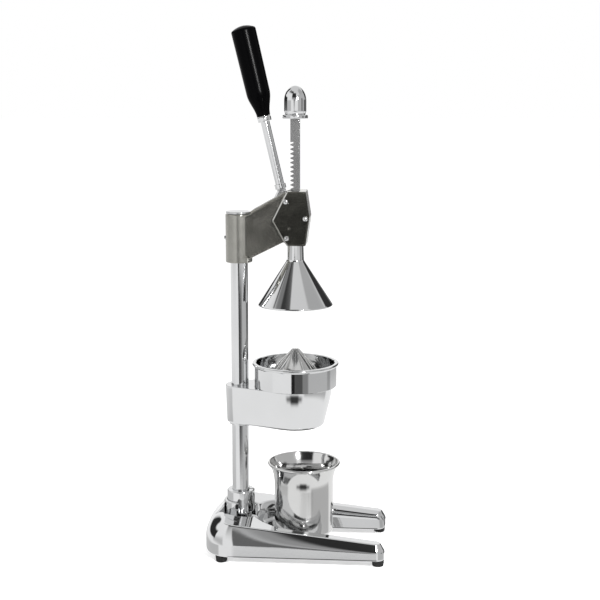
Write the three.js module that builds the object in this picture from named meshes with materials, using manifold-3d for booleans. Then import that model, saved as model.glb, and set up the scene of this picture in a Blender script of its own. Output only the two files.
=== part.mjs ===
// Lever citrus juice press on a polished U-shaped base.
// Millimetres, +Z up, +X towards the open end of the base, the table at z = 0.
// The origin lies under the middle of the base. The near side is -Y, the lever is on the far side, +Y.

import * as THREE from "three";
import { mergeVertices } from "three/addons/utils/BufferGeometryUtils.js";
import Module from "manifold-3d";

const wasm = await Module();
wasm.setup();

// Clearances and tools
const GAP = 0.3; // running and seating clearance
const OVERRUN = 6; // how far a cutter runs past the face it opens
const WELD = 0.0001; // distance under which two vertices are one
const HALF = 1 / 2;
const QUARTER_TURN = Math.PI / 2;
const TURN = Math.PI * 2;

// Facets of round pieces
const LARGE_ROUND = 30;
const MIDDLE_ROUND = 24;
const SMALL_ROUND = 12;
const TINY_ROUND = 8;
const CORNER_STEPS = 4;
const FILLET_STEPS = 3;
const ROUNDING_STEPS = 2;
const HOLE_ROUND = 6;
const DOME_STEPS = 5;
const GRIP_STEPS = 6;

// Main places
const BASE_LENGTH = 211;
const BASE_WIDTH = 136;
const COLUMN_FROM_REAR = 39;
const PRESS_REACH = 65; // column axis to press axis
const COLUMN_X = COLUMN_FROM_REAR - BASE_LENGTH * HALF;
const PRESS_X = COLUMN_X + PRESS_REACH;
const CUP_REACH = 75; // column axis to cup axis
const CUP_X = COLUMN_X + CUP_REACH;
const MESH_HEIGHT = 385; // of the gear's axis, from which the head, rack and bell take their heights

// Rubber feet and their screws
const FOOT_HEIGHT = 8;
const FOOT_RADIUS = 7.2;
const FOOT_TAPER = 0.8;
const FOOT_CHAMFER = 1;
const FOOT_WELL_RADIUS = 4.2;
const FOOT_WELL_DEPTH = 4;
const FOOT_FROM_SIDE = 11.5;
const FOOT_SIDE = BASE_WIDTH * HALF - FOOT_FROM_SIDE; // middle plane to foot axis
const FOOT_FROM_REAR = 23;
const FOOT_FROM_FRONT = 7.8;
const FOOT_SCREW_RADIUS = 1.9;
const FOOT_SCREW_HEAD_RADIUS = 3.4;
const FOOT_SCREW_HEAD = 2;
const FOOT_SCREW_REACH = 7; // thread inside the casting

// Base casting
const BASE_BOTTOM = FOOT_HEIGHT + GAP;
const CREASE_HEIGHT = 22;
const RIDGE_REAR_HEIGHT = 49.5;
const RIDGE_FRONT_HEIGHT = 24.5;
const REAR_DEPTH = 45; // length of the rounded rear end
const REAR_POWER = 3; // of the rear outline's superellipse
const REAR_STEPS = 20;
const REAR_LEAN = 15.5; // how far the rear end's upper edge leans forwards
const REAR_BULGE_SHARE = 0.58; // height of the bend in the rear end's leaning face
const SIDE_BEND_SHARE = 1 - Math.SQRT1_2; // keeps the sides' bevel faces flat
const BAY_RADIUS = 46; // round end of the opening, half the gap between the legs
const LEG_WIDTH = BASE_WIDTH * HALF - BAY_RADIUS;
const LEG_CORNER = LEG_WIDTH * HALF;
const RIDGE_INSET = LEG_CORNER * HALF; // outline to ridge, seen from above
const SKIRT_SLOPE_SHARE = 0.82; // of the legs' corner radius
const SKIRT_RADIUS = BAY_RADIUS - LEG_CORNER * SKIRT_SLOPE_SHARE; // foot of the opening's sloping wall
const SKIRT_STEP = 2;
const DISH_FLOOR = 29;
const DISH_FLOOR_RADIUS = 22;
const DISH_RIM_RADIUS = 31;
const BOSS_RADIUS = 13;
const BOSS_TOP = 42.7;
const SHIELD_TOP = 57; // half ring that stands behind the collar
const SHIELD_WALL = 3;
const SHIELD_CLEARANCE = 0.6;
const SHIELD_ROUNDING = 1.2;
const FIN_WIDTH = 24;
const FIN_BEVEL = 1.2;
// Fin profile, as shares of its reach from the rear end to the shield and of its rise over the crease
const FIN_SHARES = [[0.1, 0], [0.24, 0.28], [0.48, 0.52], [0.78, 0.74], [1, 0.92]];
const SHELF_TOP = 19.5;
const SHELF_THICKNESS = 5;
const SHELF_RADIUS = 30;
const POCKET_ROOF = 17;
const POCKET_WALL = 6;
const POCKET_INNER = 45; // middle plane to the inner side of a pocket
const POCKETS_PER_LEG = 4;
const POCKET_RIB = 4;
const POCKET_FROM_REAR = 44;
const POCKET_FROM_FRONT = 24;

// Column and what holds its foot
const COLUMN_RADIUS = 10;
const COLUMN_CHAMFER = 1;
const COLUMN_SEAT = 26; // height of the column's lower end
const COLUMN_BOLT_RADIUS = 4;
const COLUMN_BOLT_HEAD_RADIUS = 6.5;
const COLUMN_BOLT_HEAD = 5;
const COLUMN_BOLT_REACH = 16; // thread inside the column
const COLUMN_WASHER_RADIUS = 9.5;
const COLUMN_WASHER = 1.6;
const BOLT_WELL_RADIUS = 11;
const BOLT_WELL_ROOF = 18;

// Clamp collar on the base
const COLLAR_RADIUS = 16.2;
const COLLAR_HEIGHT = 26;
const COLLAR_ROUNDING = 1.2;
const COLLAR_SLIT = 2;
const COLLAR_SCREW_RADIUS = 2.8;
const COLLAR_SCREW_RISE = 8; // above the collar's lower face
const COLLAR_SCREW_LENGTH = 4.6;
const COLLAR_SCREW_SINK = 0.9;
const COLLAR_SCREW_SOCKET = 1.5;

// Bowl bracket
const BRACKET_TOP = 196.6;
const BRACKET_BOTTOM = 151;
const BOWL_SINK = 1.6; // the bowl's bottom lies this much lower than the eye's
const EYE_TOP_RADIUS = 17;
const EYE_BOTTOM_RADIUS = 15.4;
const BOWL_TOP_RADIUS = 43;
const BOWL_BOTTOM_RADIUS = 33.2;
const BRACKET_ROUNDING = 3.6; // of the lower edge
const EYE_BOSS_RADIUS = 12.6;
const EYE_BOSS = 1.8;
const BOWL_WALL = 3.2;
const BOWL_FLOOR_CORNER = 6;
const OUTLET_RADIUS = 9;
const OUTLET_DISH = 2.5; // fall of the bowl's floor to the outlet
const BRACKET_SCREW_RISE = 24;

// Strainer ring and reaming cone
const RING_RADIUS = 48;
const RING_FOOT_RADIUS = 47.6;
const RING_LIP_RADIUS = 50.3;
const RING_LIP = 3.4;
const RING_TOP = 224.3;
const RING_WALL = 2.4;
const RING_FLOOR = 3;
const RING_FLOOR_OPENING = 37;
const REAMER_RIM_RADIUS = 44.5;
const REAMER_SHOULDER_RADIUS = 33;
const REAMER_RISE = 40;
const REAMER_TIP_RADIUS = 4;
const REAMER_SHEET = 1.6;
const REAMER_RIBS = 12;
const REAMER_RIB = 2.2;
const REAMER_RIB_RAISE = 1.6;
const STRAINER_HOLE = 1.7;
const STRAINER_HOLES = 18;
const STRAINER_HOLE_PLACE = 39;

// Juice cup
const CUP_RADIUS = 34.7;
const CUP_RIM_RADIUS = 41;
const CUP_TOP = 104.5;
const CUP_WALL = 1.2;
const CUP_CORNER = 4;
const CUP_FLARE_START = 84;
const CUP_ROLL = 1.5;
const CUP_BOTTOM_RISE = 1.6;
const CUP_SEAT = 2; // width of the ring that the cup stands on
const CUP_FLARE_SHARE = 0.42; // of the flare's width, reached at half its height

// Gear and rack
const MODULE = 1.6;
const GEAR_TEETH = 28;
const PRESSURE_ANGLE = 20; // degrees
const GEAR_WIDTH = 8;
const ADDENDUM_SHARE = 0.95;
const DEDENDUM_SHARE = 1.25;
const BACKLASH = 0.35;
const RACK_DEPTH = 10.4; // along X, over the teeth
const RACK_WIDTH = 10;
const RACK_TOOTH_TOP_RISE = 95.5;
const RACK_TOOTH_TOP = MESH_HEIGHT + RACK_TOOTH_TOP_RISE;
const RACK_TOOTH_BOTTOM_DROP = 13;
const RACK_TOOTH_BOTTOM = MESH_HEIGHT - RACK_TOOTH_BOTTOM_DROP;
const RACK_STUD_RADIUS = 4;
const RACK_KNOB_REACH = 18; // stud inside the knob

// Head arm
const HEAD_BOTTOM_DROP = 44;
const HEAD_BOTTOM = MESH_HEIGHT - HEAD_BOTTOM_DROP;
const HEAD_SLEEVE_RADIUS = 15.3;
const HEAD_SLEEVE_TOP_RISE = 11.6;
const HEAD_SLEEVE_TOP = MESH_HEIGHT + HEAD_SLEEVE_TOP_RISE;
const HEAD_WIDTH = 28;
const HEAD_BEVEL = 0.6;
const ARM_ROOT = 14.3; // column axis to where the arm leaves the sleeve
const ARM_ROOT_BOTTOM_DROP = 38.5;
const ARM_ROOT_BOTTOM = MESH_HEIGHT - ARM_ROOT_BOTTOM_DROP;
const ARM_ROOT_TOP_RISE = 15.8;
const ARM_ROOT_TOP = MESH_HEIGHT + ARM_ROOT_TOP_RISE;
const ARM_TIP = 51;
const ARM_TIP_TOP_RISE = 35.8;
const ARM_TIP_TOP = MESH_HEIGHT + ARM_TIP_TOP_RISE;
const ARM_TIP_BOTTOM_DROP = 19.3;
const ARM_TIP_BOTTOM = MESH_HEIGHT - ARM_TIP_BOTTOM_DROP;
const HOUSING_REAR = 56.6;
const HOUSING_FRONT = 77.9;
const HOUSING_NOSE = 82.3;
const HOUSING_NOSE_RISE = 9.5;
const HOUSING_NOSE_HEIGHT = MESH_HEIGHT + HOUSING_NOSE_RISE;
const HOUSING_TOP_RISE = 38.5;
const HOUSING_TOP = MESH_HEIGHT + HOUSING_TOP_RISE;
const HOUSING_BOTTOM_DROP = 23;
const HOUSING_BOTTOM = MESH_HEIGHT - HOUSING_BOTTOM_DROP;
const GEAR_SLOT_CLEARANCE = 0.6;
const CHANNEL_CLEARANCE = 0.3;
const CAP_RADIUS = 14.6;
const CAP_THICKNESS = 2.6;
const HEAD_SCREW_DROP = 16;
const HEAD_SCREW_HEIGHT = MESH_HEIGHT - HEAD_SCREW_DROP;
const HEAD_SCREW_RADIUS = 2.4;
const HEAD_SCREW_SHOW = 1.4;

// Cover plates
const PLATE_THICKNESS = 4.6;
const PLATE_CHAMFER = 1.4;
const PLATE_REAR = 40.1;
const PLATE_REAR_RISE = 5.8;
const PLATE_REAR_HEIGHT = MESH_HEIGHT + PLATE_REAR_RISE;
const PLATE_UPPER_REAR = 49.9;
const PLATE_UPPER_RISE = 25.4;
const PLATE_UPPER_HEIGHT = MESH_HEIGHT + PLATE_UPPER_RISE;
const PLATE_LOWER_REAR = 52.6;
const PLATE_LOWER_DROP = 17.1;
const PLATE_LOWER_HEIGHT = MESH_HEIGHT - PLATE_LOWER_DROP;
const OIL_HOLE_RADIUS = 1.9;
const OIL_HOLE_X = 59.7;
const OIL_HOLE_DROP = 2.8;
const OIL_HOLE_HEIGHT = MESH_HEIGHT - OIL_HOLE_DROP;
const PLATE_SCREW_RADIUS = 2;
const PLATE_SCREW_HEAD_RADIUS = 3.1;
const PLATE_SCREW_HEAD = 2.4;
const PLATE_SCREW_REACH = 7;
const PLATE_SCREW_SLOT = 0.9;
const PLATE_SCREW_SLOT_DEPTH = 1;
const UPPER_SCREW_X = 55.6;
const UPPER_SCREW_RISE = 27.1;
const UPPER_SCREW_HEIGHT = MESH_HEIGHT + UPPER_SCREW_RISE;
const LOWER_SCREW_X = 56.6;
const LOWER_SCREW_DROP = 14.2;
const LOWER_SCREW_HEIGHT = MESH_HEIGHT - LOWER_SCREW_DROP;
const FRONT_SCREW_X = 77.6;
const FRONT_SCREW_RISE = 8.1;
const FRONT_SCREW_HEIGHT = MESH_HEIGHT + FRONT_SCREW_RISE;

// Gear shaft, bush, hub and nut
const SHAFT_RADIUS = 5;
const SHAFT_BLIND = 7; // journal inside the near cheek
const SHAFT_THREAD_RADIUS = 4;
const BUSH_WALL = 2;
const BUSH_FLANGE_RADIUS = 8.4;
const BUSH_FLANGE = 1.6;
const HUB_BOSS_RADIUS = 8.6;
const HUB_ROUND = 12.5;
const HUB_WIDTH = 14;
const HUB_BEVEL = 2;
const HUB_SOCKET_ROUND = 7.4;
const HUB_SOCKET_DEPTH = 12;
const HUB_NUT_RADIUS = 7;
const HUB_NUT = 6;
const HUB_NUT_DOME = 3;
const HUB_NUT_CROWN_SHARES = [[0.8, 0], [0.56, 0.7]]; // of the nut's radius and of the dome

// Lever
const LEVER_TILT = 13.3; // degrees, backwards
const LEVER_SIDE = 31; // middle plane to rod axis
const LEVER_LEAD = 15.8; // rod axis in front of the gear's axis, at the gear's height
const ROD_RADIUS = 5.2;
const LEVER_COLLAR_RISE = 39; // from the gear's height, along the rod
const LEVER_COLLAR_RADIUS = 6.6;
const LEVER_COLLAR = 6;
const FERRULE_RADIUS = 8;
const FERRULE_HEIGHT = 6;
const GRIP_RISE = 124.8;
const GRIP_LENGTH = 105;
const GRIP_TOP_RADIUS = 14.35;
const GRIP_SHOULDER_RADIUS = 13.7;
const GRIP_FOOT_RADIUS = 7.8;
const GRIP_SHOULDER_SHARE = 0.27;
const GRIP_BORE_SHARE = 0.8;
const GRIP_CROWN = 3;
const GRIP_EDGE = 3.2;

// Knob and press cone
const KNOB_BOTTOM_RISE = 119.5;
const KNOB_BOTTOM = MESH_HEIGHT + KNOB_BOTTOM_RISE;
const KNOB_FLANGE_RADIUS = 14.4;
const KNOB_FLANGE = 4;
const KNOB_BODY_RADIUS = 12.6;
const KNOB_HEIGHT = 36.8;
const KNOB_NECK = 2.4;
const KNOB_DOME_SHARE = 1.35; // dome height over the body's radius
const CONE_NECK_RADIUS = 9.35;
const CONE_NECK_BOTTOM_DROP = 41;
const CONE_NECK_BOTTOM = MESH_HEIGHT - CONE_NECK_BOTTOM_DROP;
const CONE_RADIUS = 43.1;
const CONE_BOTTOM_DROP = 93.6;
const CONE_BOTTOM = MESH_HEIGHT - CONE_BOTTOM_DROP;
const CONE_WALL = 2.6;
const CONE_EDGE = 1.6;
const CONE_HUB_RADIUS = 8;
const CONE_HUB_BOTTOM_DROP = 52;
const CONE_HUB_BOTTOM = MESH_HEIGHT - CONE_HUB_BOTTOM_DROP;
const CONE_NUT_RADIUS = 6.5;
const CONE_NUT = 6;

// Colour, roughness and metalness of each finish
const CHROME = { color: 0xd7d8da, roughness: 0.12, metalness: 1 };
const STEEL = { color: 0xc2c4c6, roughness: 0.25, metalness: 1 };
const GREY_ENAMEL = { color: 0x74726a, roughness: 0.42, metalness: 0.35 };
const DARK_ENAMEL = { color: 0x33332f, roughness: 0.5, metalness: 0.3 };
const BLACK_GLOSS = { color: 0x101011, roughness: 0.12, metalness: 0 };
const RUBBER = { color: 0x161616, roughness: 0.85, metalness: 0 };
const BRONZE = { color: 0xa9824a, roughness: 0.35, metalness: 1 };

const radians = (degrees) => (degrees * Math.PI) / 180;

// A closed solid for cutting and joining
function solidOf(geometry) {
  const bare = geometry.clone();
  bare.deleteAttribute("normal");
  bare.deleteAttribute("uv");
  const merged = mergeVertices(bare, WELD);
  return new wasm.Manifold(
    new wasm.Mesh({
      numProp: 3,
      vertProperties: new Float32Array(merged.attributes.position.array),
      triVerts: new Uint32Array(merged.index.array),
    })
  );
}

function geometryOf(solid) {
  const mesh = solid.getMesh();
  const geometry = new THREE.BufferGeometry();
  geometry.setAttribute("position", new THREE.BufferAttribute(new Float32Array(mesh.vertProperties), 3));
  geometry.setIndex(new THREE.BufferAttribute(new Uint32Array(mesh.triVerts), 1));
  geometry.computeVertexNormals();
  return geometry;
}

function cut(body, ...tools) {
  const solids = tools.map(solidOf);
  return geometryOf(solids.reduce((rest, tool) => rest.subtract(tool), solidOf(body)));
}

function join(...bodies) {
  return geometryOf(bodies.map(solidOf).reduce((sum, body) => sum.add(body)));
}

function common(first, second) {
  return geometryOf(solidOf(first).intersect(solidOf(second)));
}

// A body turned about Z from points [radius, height], upwards on the outside
function turned(points, facets = MIDDLE_ROUND) {
  const profile = points.map(([radius, height]) => new THREE.Vector2(radius, height));
  return new THREE.LatheGeometry(profile, facets).rotateX(QUARTER_TURN);
}

// A ring turned about Z from a closed profile
function turnedRing(points, facets = MIDDLE_ROUND) {
  return turned([...points, points[0]], facets);
}

function bar(radius, length, facets = SMALL_ROUND) {
  return turned([[0, 0], [radius, 0], [radius, length], [0, length]], facets);
}

// A bar with chamfered ends
function chamferedBar(radius, length, chamfer, facets = SMALL_ROUND) {
  const points = [
    [0, 0],
    [radius - chamfer, 0],
    [radius, chamfer],
    [radius, length - chamfer],
    [radius - chamfer, length],
    [0, length],
  ];
  return turned(points, facets);
}

// A bar that lies along Y, from one y to another
function crossBar(radius, fromY, toY, facets = SMALL_ROUND) {
  return bar(radius, toY - fromY, facets).rotateX(-QUARTER_TURN).translate(0, fromY, 0);
}

function box(fromX, toX, fromY, toY, fromZ, toZ) {
  const geometry = new THREE.BoxGeometry(toX - fromX, toY - fromY, toZ - fromZ);
  return geometry.translate((fromX + toX) * HALF, (fromY + toY) * HALF, (fromZ + toZ) * HALF);
}

// Straight prism on a plan outline
function prism(shape, fromZ, toZ) {
  const options = { depth: toZ - fromZ, bevelEnabled: false, curveSegments: CORNER_STEPS * 2 };
  return new THREE.ExtrudeGeometry(shape, options).translate(0, 0, fromZ);
}

// Plate with an outline in x and z, across Y from one y to another, its long edges bevelled
function sidePlate(shape, fromY, toY, bevel = 0) {
  const options = {
    depth: toY - fromY - 2 * bevel,
    bevelEnabled: bevel > 0,
    bevelThickness: bevel,
    bevelSize: bevel,
    bevelOffset: -bevel,
    bevelSegments: 1,
    curveSegments: CORNER_STEPS,
  };
  return new THREE.ExtrudeGeometry(shape, options).rotateX(QUARTER_TURN).translate(0, toY - bevel, 0);
}

function outline(points) {
  return new THREE.Shape(points.map(([across, up]) => new THREE.Vector2(across, up)));
}

// Points of an arc round [x, y], both ends included
function arcPoints(x, y, radius, fromAngle, toAngle, steps) {
  return Array.from({ length: steps + 1 }, (_, step) => {
    const angle = fromAngle + ((toAngle - fromAngle) * step) / steps;
    return [x + radius * Math.cos(angle), y + radius * Math.sin(angle)];
  });
}

function named(name, geometry, finish) {
  const mesh = new THREE.Mesh(geometry, new THREE.MeshStandardMaterial(finish));
  mesh.name = name;
  return mesh;
}

function placed(mesh, x, y, z) {
  mesh.position.set(x, y, z);
  return mesh;
}

// Base casting

// Plan of the U: a rounded rear end, two legs with rounded ends and a round bay between them
function basePlan() {
  const rear = -BASE_LENGTH * HALF;
  const front = BASE_LENGTH * HALF;
  const side = BASE_WIDTH * HALF;
  const points = [];
  for (let step = 0; step <= REAR_STEPS; step++) {
    const angle = QUARTER_TURN - (Math.PI * step) / REAR_STEPS;
    const across = Math.sign(Math.sin(angle)) * Math.abs(Math.sin(angle)) ** (2 / REAR_POWER);
    const along = Math.abs(Math.cos(angle)) ** (2 / REAR_POWER);
    points.push([rear + REAR_DEPTH * (1 - along), side * across]);
  }
  const corner = LEG_CORNER;
  const legEnd = front - corner;
  points.push(...arcPoints(legEnd, corner - side, corner, -QUARTER_TURN, 0, CORNER_STEPS));
  points.push(...arcPoints(legEnd, -BAY_RADIUS - corner, corner, 0, QUARTER_TURN, CORNER_STEPS));
  points.push(...arcPoints(PRESS_X, 0, BAY_RADIUS, 3 * QUARTER_TURN, QUARTER_TURN, LARGE_ROUND * HALF));
  points.push(...arcPoints(legEnd, BAY_RADIUS + corner, corner, -QUARTER_TURN, 0, CORNER_STEPS));
  points.push(...arcPoints(legEnd, side - corner, corner, 0, QUARTER_TURN, CORNER_STEPS));
  return outline(points);
}

// Height of the ridge plane, which falls from the rear end to the legs' ends
function ridgeHeight(x) {
  const share = x / BASE_LENGTH + HALF;
  return RIDGE_REAR_HEIGHT + (RIDGE_FRONT_HEIGHT - RIDGE_REAR_HEIGHT) * share;
}

// Upright wall up to the crease, then a bevel face that leans in to the falling ridge
function baseWalls() {
  const wall = CREASE_HEIGHT - BASE_BOTTOM;
  const geometry = new THREE.ExtrudeGeometry(basePlan(), {
    depth: wall,
    bevelEnabled: true,
    bevelThickness: RIDGE_INSET,
    bevelSize: RIDGE_INSET,
    bevelOffset: -RIDGE_INSET,
    bevelSegments: 2,
  }).translate(0, 0, BASE_BOTTOM);
  const places = geometry.attributes.position;
  const rearReach = REAR_DEPTH - BASE_LENGTH * HALF;
  for (let index = 0; index < places.count; index++) {
    const above = (places.getZ(index) - CREASE_HEIGHT) / RIDGE_INSET;
    if (above > 0) {
      const x = places.getX(index);
      const rearness = Math.max(0, (rearReach - x) / REAR_DEPTH) ** 2;
      const bend = SIDE_BEND_SHARE + (REAR_BULGE_SHARE - SIDE_BEND_SHARE) * rearness;
      const share = above > 1 - WELD ? 1 : bend;
      const lean = REAR_LEAN * rearness * share ** 2;
      places.setX(index, x + lean);
      places.setZ(index, CREASE_HEIGHT + share * (ridgeHeight(x + lean) - CREASE_HEIGHT));
    }
  }
  const long = BASE_LENGTH * HALF + OVERRUN;
  const wide = BASE_WIDTH * HALF + OVERRUN;
  return cut(geometry, box(-long, long, -wide, wide, BASE_BOTTOM - RIDGE_INSET - OVERRUN, BASE_BOTTOM));
}

// Sloping foot of the opening's wall, rounded at the legs' ends
function baseSkirt() {
  const front = BASE_LENGTH * HALF - GAP;
  const side = BASE_WIDTH * HALF - GAP;
  const corner = LEG_CORNER;
  const legEnd = front - corner;
  const slope = BAY_RADIUS - SKIRT_RADIUS;
  const tip = SKIRT_RADIUS + corner;
  const points = [
    [COLUMN_X, -side],
    ...arcPoints(legEnd, corner - side, corner, -QUARTER_TURN, 0, CORNER_STEPS),
    ...arcPoints(legEnd, -tip, corner, 0, QUARTER_TURN, CORNER_STEPS),
    ...arcPoints(PRESS_X, 0, SKIRT_RADIUS, 3 * QUARTER_TURN, QUARTER_TURN, LARGE_ROUND * HALF),
    ...arcPoints(legEnd, tip, corner, -QUARTER_TURN, 0, CORNER_STEPS),
    ...arcPoints(legEnd, side - corner, corner, 0, QUARTER_TURN, CORNER_STEPS),
    [COLUMN_X, side],
  ];
  const geometry = new THREE.ExtrudeGeometry(outline(points), {
    depth: SKIRT_STEP,
    bevelEnabled: true,
    bevelThickness: CREASE_HEIGHT - BASE_BOTTOM - SKIRT_STEP,
    bevelSize: slope,
    bevelOffset: -slope,
    bevelSegments: 1,
  }).translate(0, 0, BASE_BOTTOM);
  const long = BASE_LENGTH;
  return cut(geometry, box(-long, long, -long, long, -CREASE_HEIGHT, BASE_BOTTOM));
}

// Shelf for the cup, round in front
function cupShelf() {
  const points = [
    [PRESS_X - SKIRT_RADIUS - RIDGE_INSET, -SKIRT_RADIUS - RIDGE_INSET],
    [CUP_X - SHELF_RADIUS * HALF, -SKIRT_RADIUS - RIDGE_INSET],
    ...arcPoints(CUP_X, 0, SHELF_RADIUS, -QUARTER_TURN, QUARTER_TURN, MIDDLE_ROUND * HALF),
    [CUP_X - SHELF_RADIUS * HALF, SKIRT_RADIUS + RIDGE_INSET],
    [PRESS_X - SKIRT_RADIUS - RIDGE_INSET, SKIRT_RADIUS + RIDGE_INSET],
  ];
  return prism(outline(points), SHELF_TOP - SHELF_THICKNESS, SHELF_TOP);
}

// Half ring of the casting that stands behind the collar
function collarShield() {
  const inner = COLLAR_RADIUS + SHIELD_CLEARANCE;
  const ring = roundedSleeve(inner, inner + SHIELD_WALL, SHIELD_TOP - DISH_FLOOR + SHIELD_WALL, SHIELD_ROUNDING,
    MIDDLE_ROUND).translate(COLUMN_X, 0, DISH_FLOOR - SHIELD_WALL);
  return cut(ring, box(COLUMN_X - SHIELD_CLEARANCE, COLUMN_X + BASE_WIDTH, -BASE_WIDTH, BASE_WIDTH,
    0, SHIELD_TOP + OVERRUN));
}

// Fin behind the column, from the rear wall up to the shield
function rearFin() {
  const rear = -BASE_LENGTH * HALF;
  const front = COLUMN_X - COLLAR_RADIUS - SHIELD_CLEARANCE - SHIELD_WALL * HALF;
  const reach = front - rear;
  const rise = SHIELD_TOP - CREASE_HEIGHT;
  const points = [
    [rear + reach * FIN_SHARES[0][0], BASE_BOTTOM + SKIRT_STEP],
    ...FIN_SHARES.map(([along, up]) => [rear + reach * along, CREASE_HEIGHT + rise * up]),
    [front, BASE_BOTTOM + SKIRT_STEP],
  ];
  return sidePlate(outline(points), -FIN_WIDTH * HALF, FIN_WIDTH * HALF, FIN_BEVEL);
}

// Pockets that hollow a leg from below, with ribs between them
function legPockets() {
  const from = -BASE_LENGTH * HALF + POCKET_FROM_REAR;
  const to = BASE_LENGTH * HALF - POCKET_FROM_FRONT;
  const length = (to - from - (POCKETS_PER_LEG - 1) * POCKET_RIB) / POCKETS_PER_LEG;
  const outer = BASE_WIDTH * HALF - POCKET_WALL;
  const pockets = [];
  for (let place = 0; place < POCKETS_PER_LEG; place++) {
    const start = from + place * (length + POCKET_RIB);
    const bottom = BASE_BOTTOM - OVERRUN;
    pockets.push(box(start, start + length, POCKET_INNER, outer, bottom, POCKET_ROOF));
    pockets.push(box(start, start + length, -outer, -POCKET_INNER, bottom, POCKET_ROOF));
  }
  return pockets;
}

function footPlaces() {
  const rear = FOOT_FROM_REAR - BASE_LENGTH * HALF;
  const front = BASE_LENGTH * HALF - FOOT_FROM_FRONT;
  return [
    ["rear_near", rear, -FOOT_SIDE],
    ["rear_far", rear, FOOT_SIDE],
    ["front_near", front, -FOOT_SIDE],
    ["front_far", front, FOOT_SIDE],
  ];
}

function baseCasting() {
  const dish = turned(
    [[0, DISH_FLOOR], [DISH_FLOOR_RADIUS, DISH_FLOOR], [DISH_RIM_RADIUS, RIDGE_REAR_HEIGHT],
      [DISH_RIM_RADIUS, RIDGE_REAR_HEIGHT + OVERRUN], [0, RIDGE_REAR_HEIGHT + OVERRUN]],
    MIDDLE_ROUND
  ).translate(COLUMN_X, 0, 0);
  const boss = bar(BOSS_RADIUS, BOSS_TOP - DISH_FLOOR + OVERRUN, MIDDLE_ROUND)
    .translate(COLUMN_X, 0, DISH_FLOOR - OVERRUN);
  const walls = cut(baseWalls(), dish);
  const body = join(walls, baseSkirt(), cupShelf(), boss, rearFin(), collarShield());
  const seat = bar(COLUMN_RADIUS + GAP, BOSS_TOP - COLUMN_SEAT + GAP + OVERRUN, MIDDLE_ROUND)
    .translate(COLUMN_X, 0, COLUMN_SEAT - GAP);
  const boltHole = bar(COLUMN_BOLT_RADIUS + GAP, COLUMN_SEAT, TINY_ROUND)
    .translate(COLUMN_X, 0, BASE_BOTTOM);
  const boltWell = bar(BOLT_WELL_RADIUS, BOLT_WELL_ROOF, SMALL_ROUND)
    .translate(COLUMN_X, 0, 0);
  const footHoles = footPlaces().map(([, x, y]) =>
    bar(FOOT_SCREW_RADIUS + GAP, FOOT_SCREW_REACH + GAP + OVERRUN, TINY_ROUND)
      .translate(x, y, BASE_BOTTOM - OVERRUN)
  );
  return cut(body, seat, boltHole, boltWell, ...legPockets(), ...footHoles);
}

function rubberFoot() {
  const top = FOOT_HEIGHT;
  const holeRadius = FOOT_SCREW_RADIUS + GAP;
  return turnedRing(
    [
      [holeRadius, FOOT_WELL_DEPTH],
      [FOOT_WELL_RADIUS, FOOT_WELL_DEPTH],
      [FOOT_WELL_RADIUS, 0],
      [FOOT_RADIUS - FOOT_TAPER - FOOT_CHAMFER, 0],
      [FOOT_RADIUS - FOOT_TAPER, FOOT_CHAMFER],
      [FOOT_RADIUS, top],
      [holeRadius, top],
    ],
    SMALL_ROUND
  );
}

function footScrew() {
  const headTop = FOOT_WELL_DEPTH - GAP;
  const headBottom = headTop - FOOT_SCREW_HEAD;
  const tip = BASE_BOTTOM + FOOT_SCREW_REACH;
  return turned(
    [
      [0, headBottom],
      [FOOT_SCREW_HEAD_RADIUS, headBottom],
      [FOOT_SCREW_HEAD_RADIUS, headTop],
      [FOOT_SCREW_RADIUS, headTop],
      [FOOT_SCREW_RADIUS, tip],
      [0, tip],
    ],
    TINY_ROUND
  );
}

function addBase(group) {
  group.add(named("base_casting", baseCasting(), CHROME));
  for (const [place, x, y] of footPlaces()) {
    group.add(placed(named(`foot_${place}`, rubberFoot(), RUBBER), x, y, 0));
    group.add(placed(named(`foot_screw_${place}`, footScrew(), STEEL), x, y, 0));
  }
}

// Column, its foot and the clamp collar

function columnTop() {
  return HEAD_SLEEVE_TOP - GAP;
}

function columnBar() {
  const body = chamferedBar(COLUMN_RADIUS, columnTop() - COLUMN_SEAT, COLUMN_CHAMFER, MIDDLE_ROUND);
  const thread = bar(COLUMN_BOLT_RADIUS + GAP, COLUMN_BOLT_REACH + OVERRUN + GAP, TINY_ROUND)
    .translate(0, 0, -OVERRUN);
  return cut(body, thread);
}

function columnBolt() {
  const headTop = BOLT_WELL_ROOF - COLUMN_WASHER - 2 * GAP;
  const head = new THREE.CylinderGeometry(
    COLUMN_BOLT_HEAD_RADIUS, COLUMN_BOLT_HEAD_RADIUS, COLUMN_BOLT_HEAD, 6
  ).rotateX(QUARTER_TURN).translate(0, 0, headTop - COLUMN_BOLT_HEAD * HALF);
  const shank = bar(COLUMN_BOLT_RADIUS, COLUMN_SEAT + COLUMN_BOLT_REACH - headTop + GAP, TINY_ROUND)
    .translate(0, 0, headTop - GAP);
  return join(head, shank);
}

function columnWasher() {
  const inner = COLUMN_BOLT_RADIUS + GAP;
  const bottom = BOLT_WELL_ROOF - COLUMN_WASHER - GAP;
  const top = BOLT_WELL_ROOF - GAP;
  const points = [[inner, bottom], [COLUMN_WASHER_RADIUS, bottom], [COLUMN_WASHER_RADIUS, top], [inner, top]];
  return turnedRing(points, SMALL_ROUND);
}

// Ring with rounded outer edges
function roundedSleeve(inner, outer, height, rounding, facets) {
  const lower = arcPoints(outer - rounding, rounding, rounding, -QUARTER_TURN, 0, ROUNDING_STEPS);
  const upper = arcPoints(outer - rounding, height - rounding, rounding, 0, QUARTER_TURN,
    ROUNDING_STEPS);
  return turnedRing([[inner, 0], ...lower, ...upper, [inner, height]], facets);
}

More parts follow.
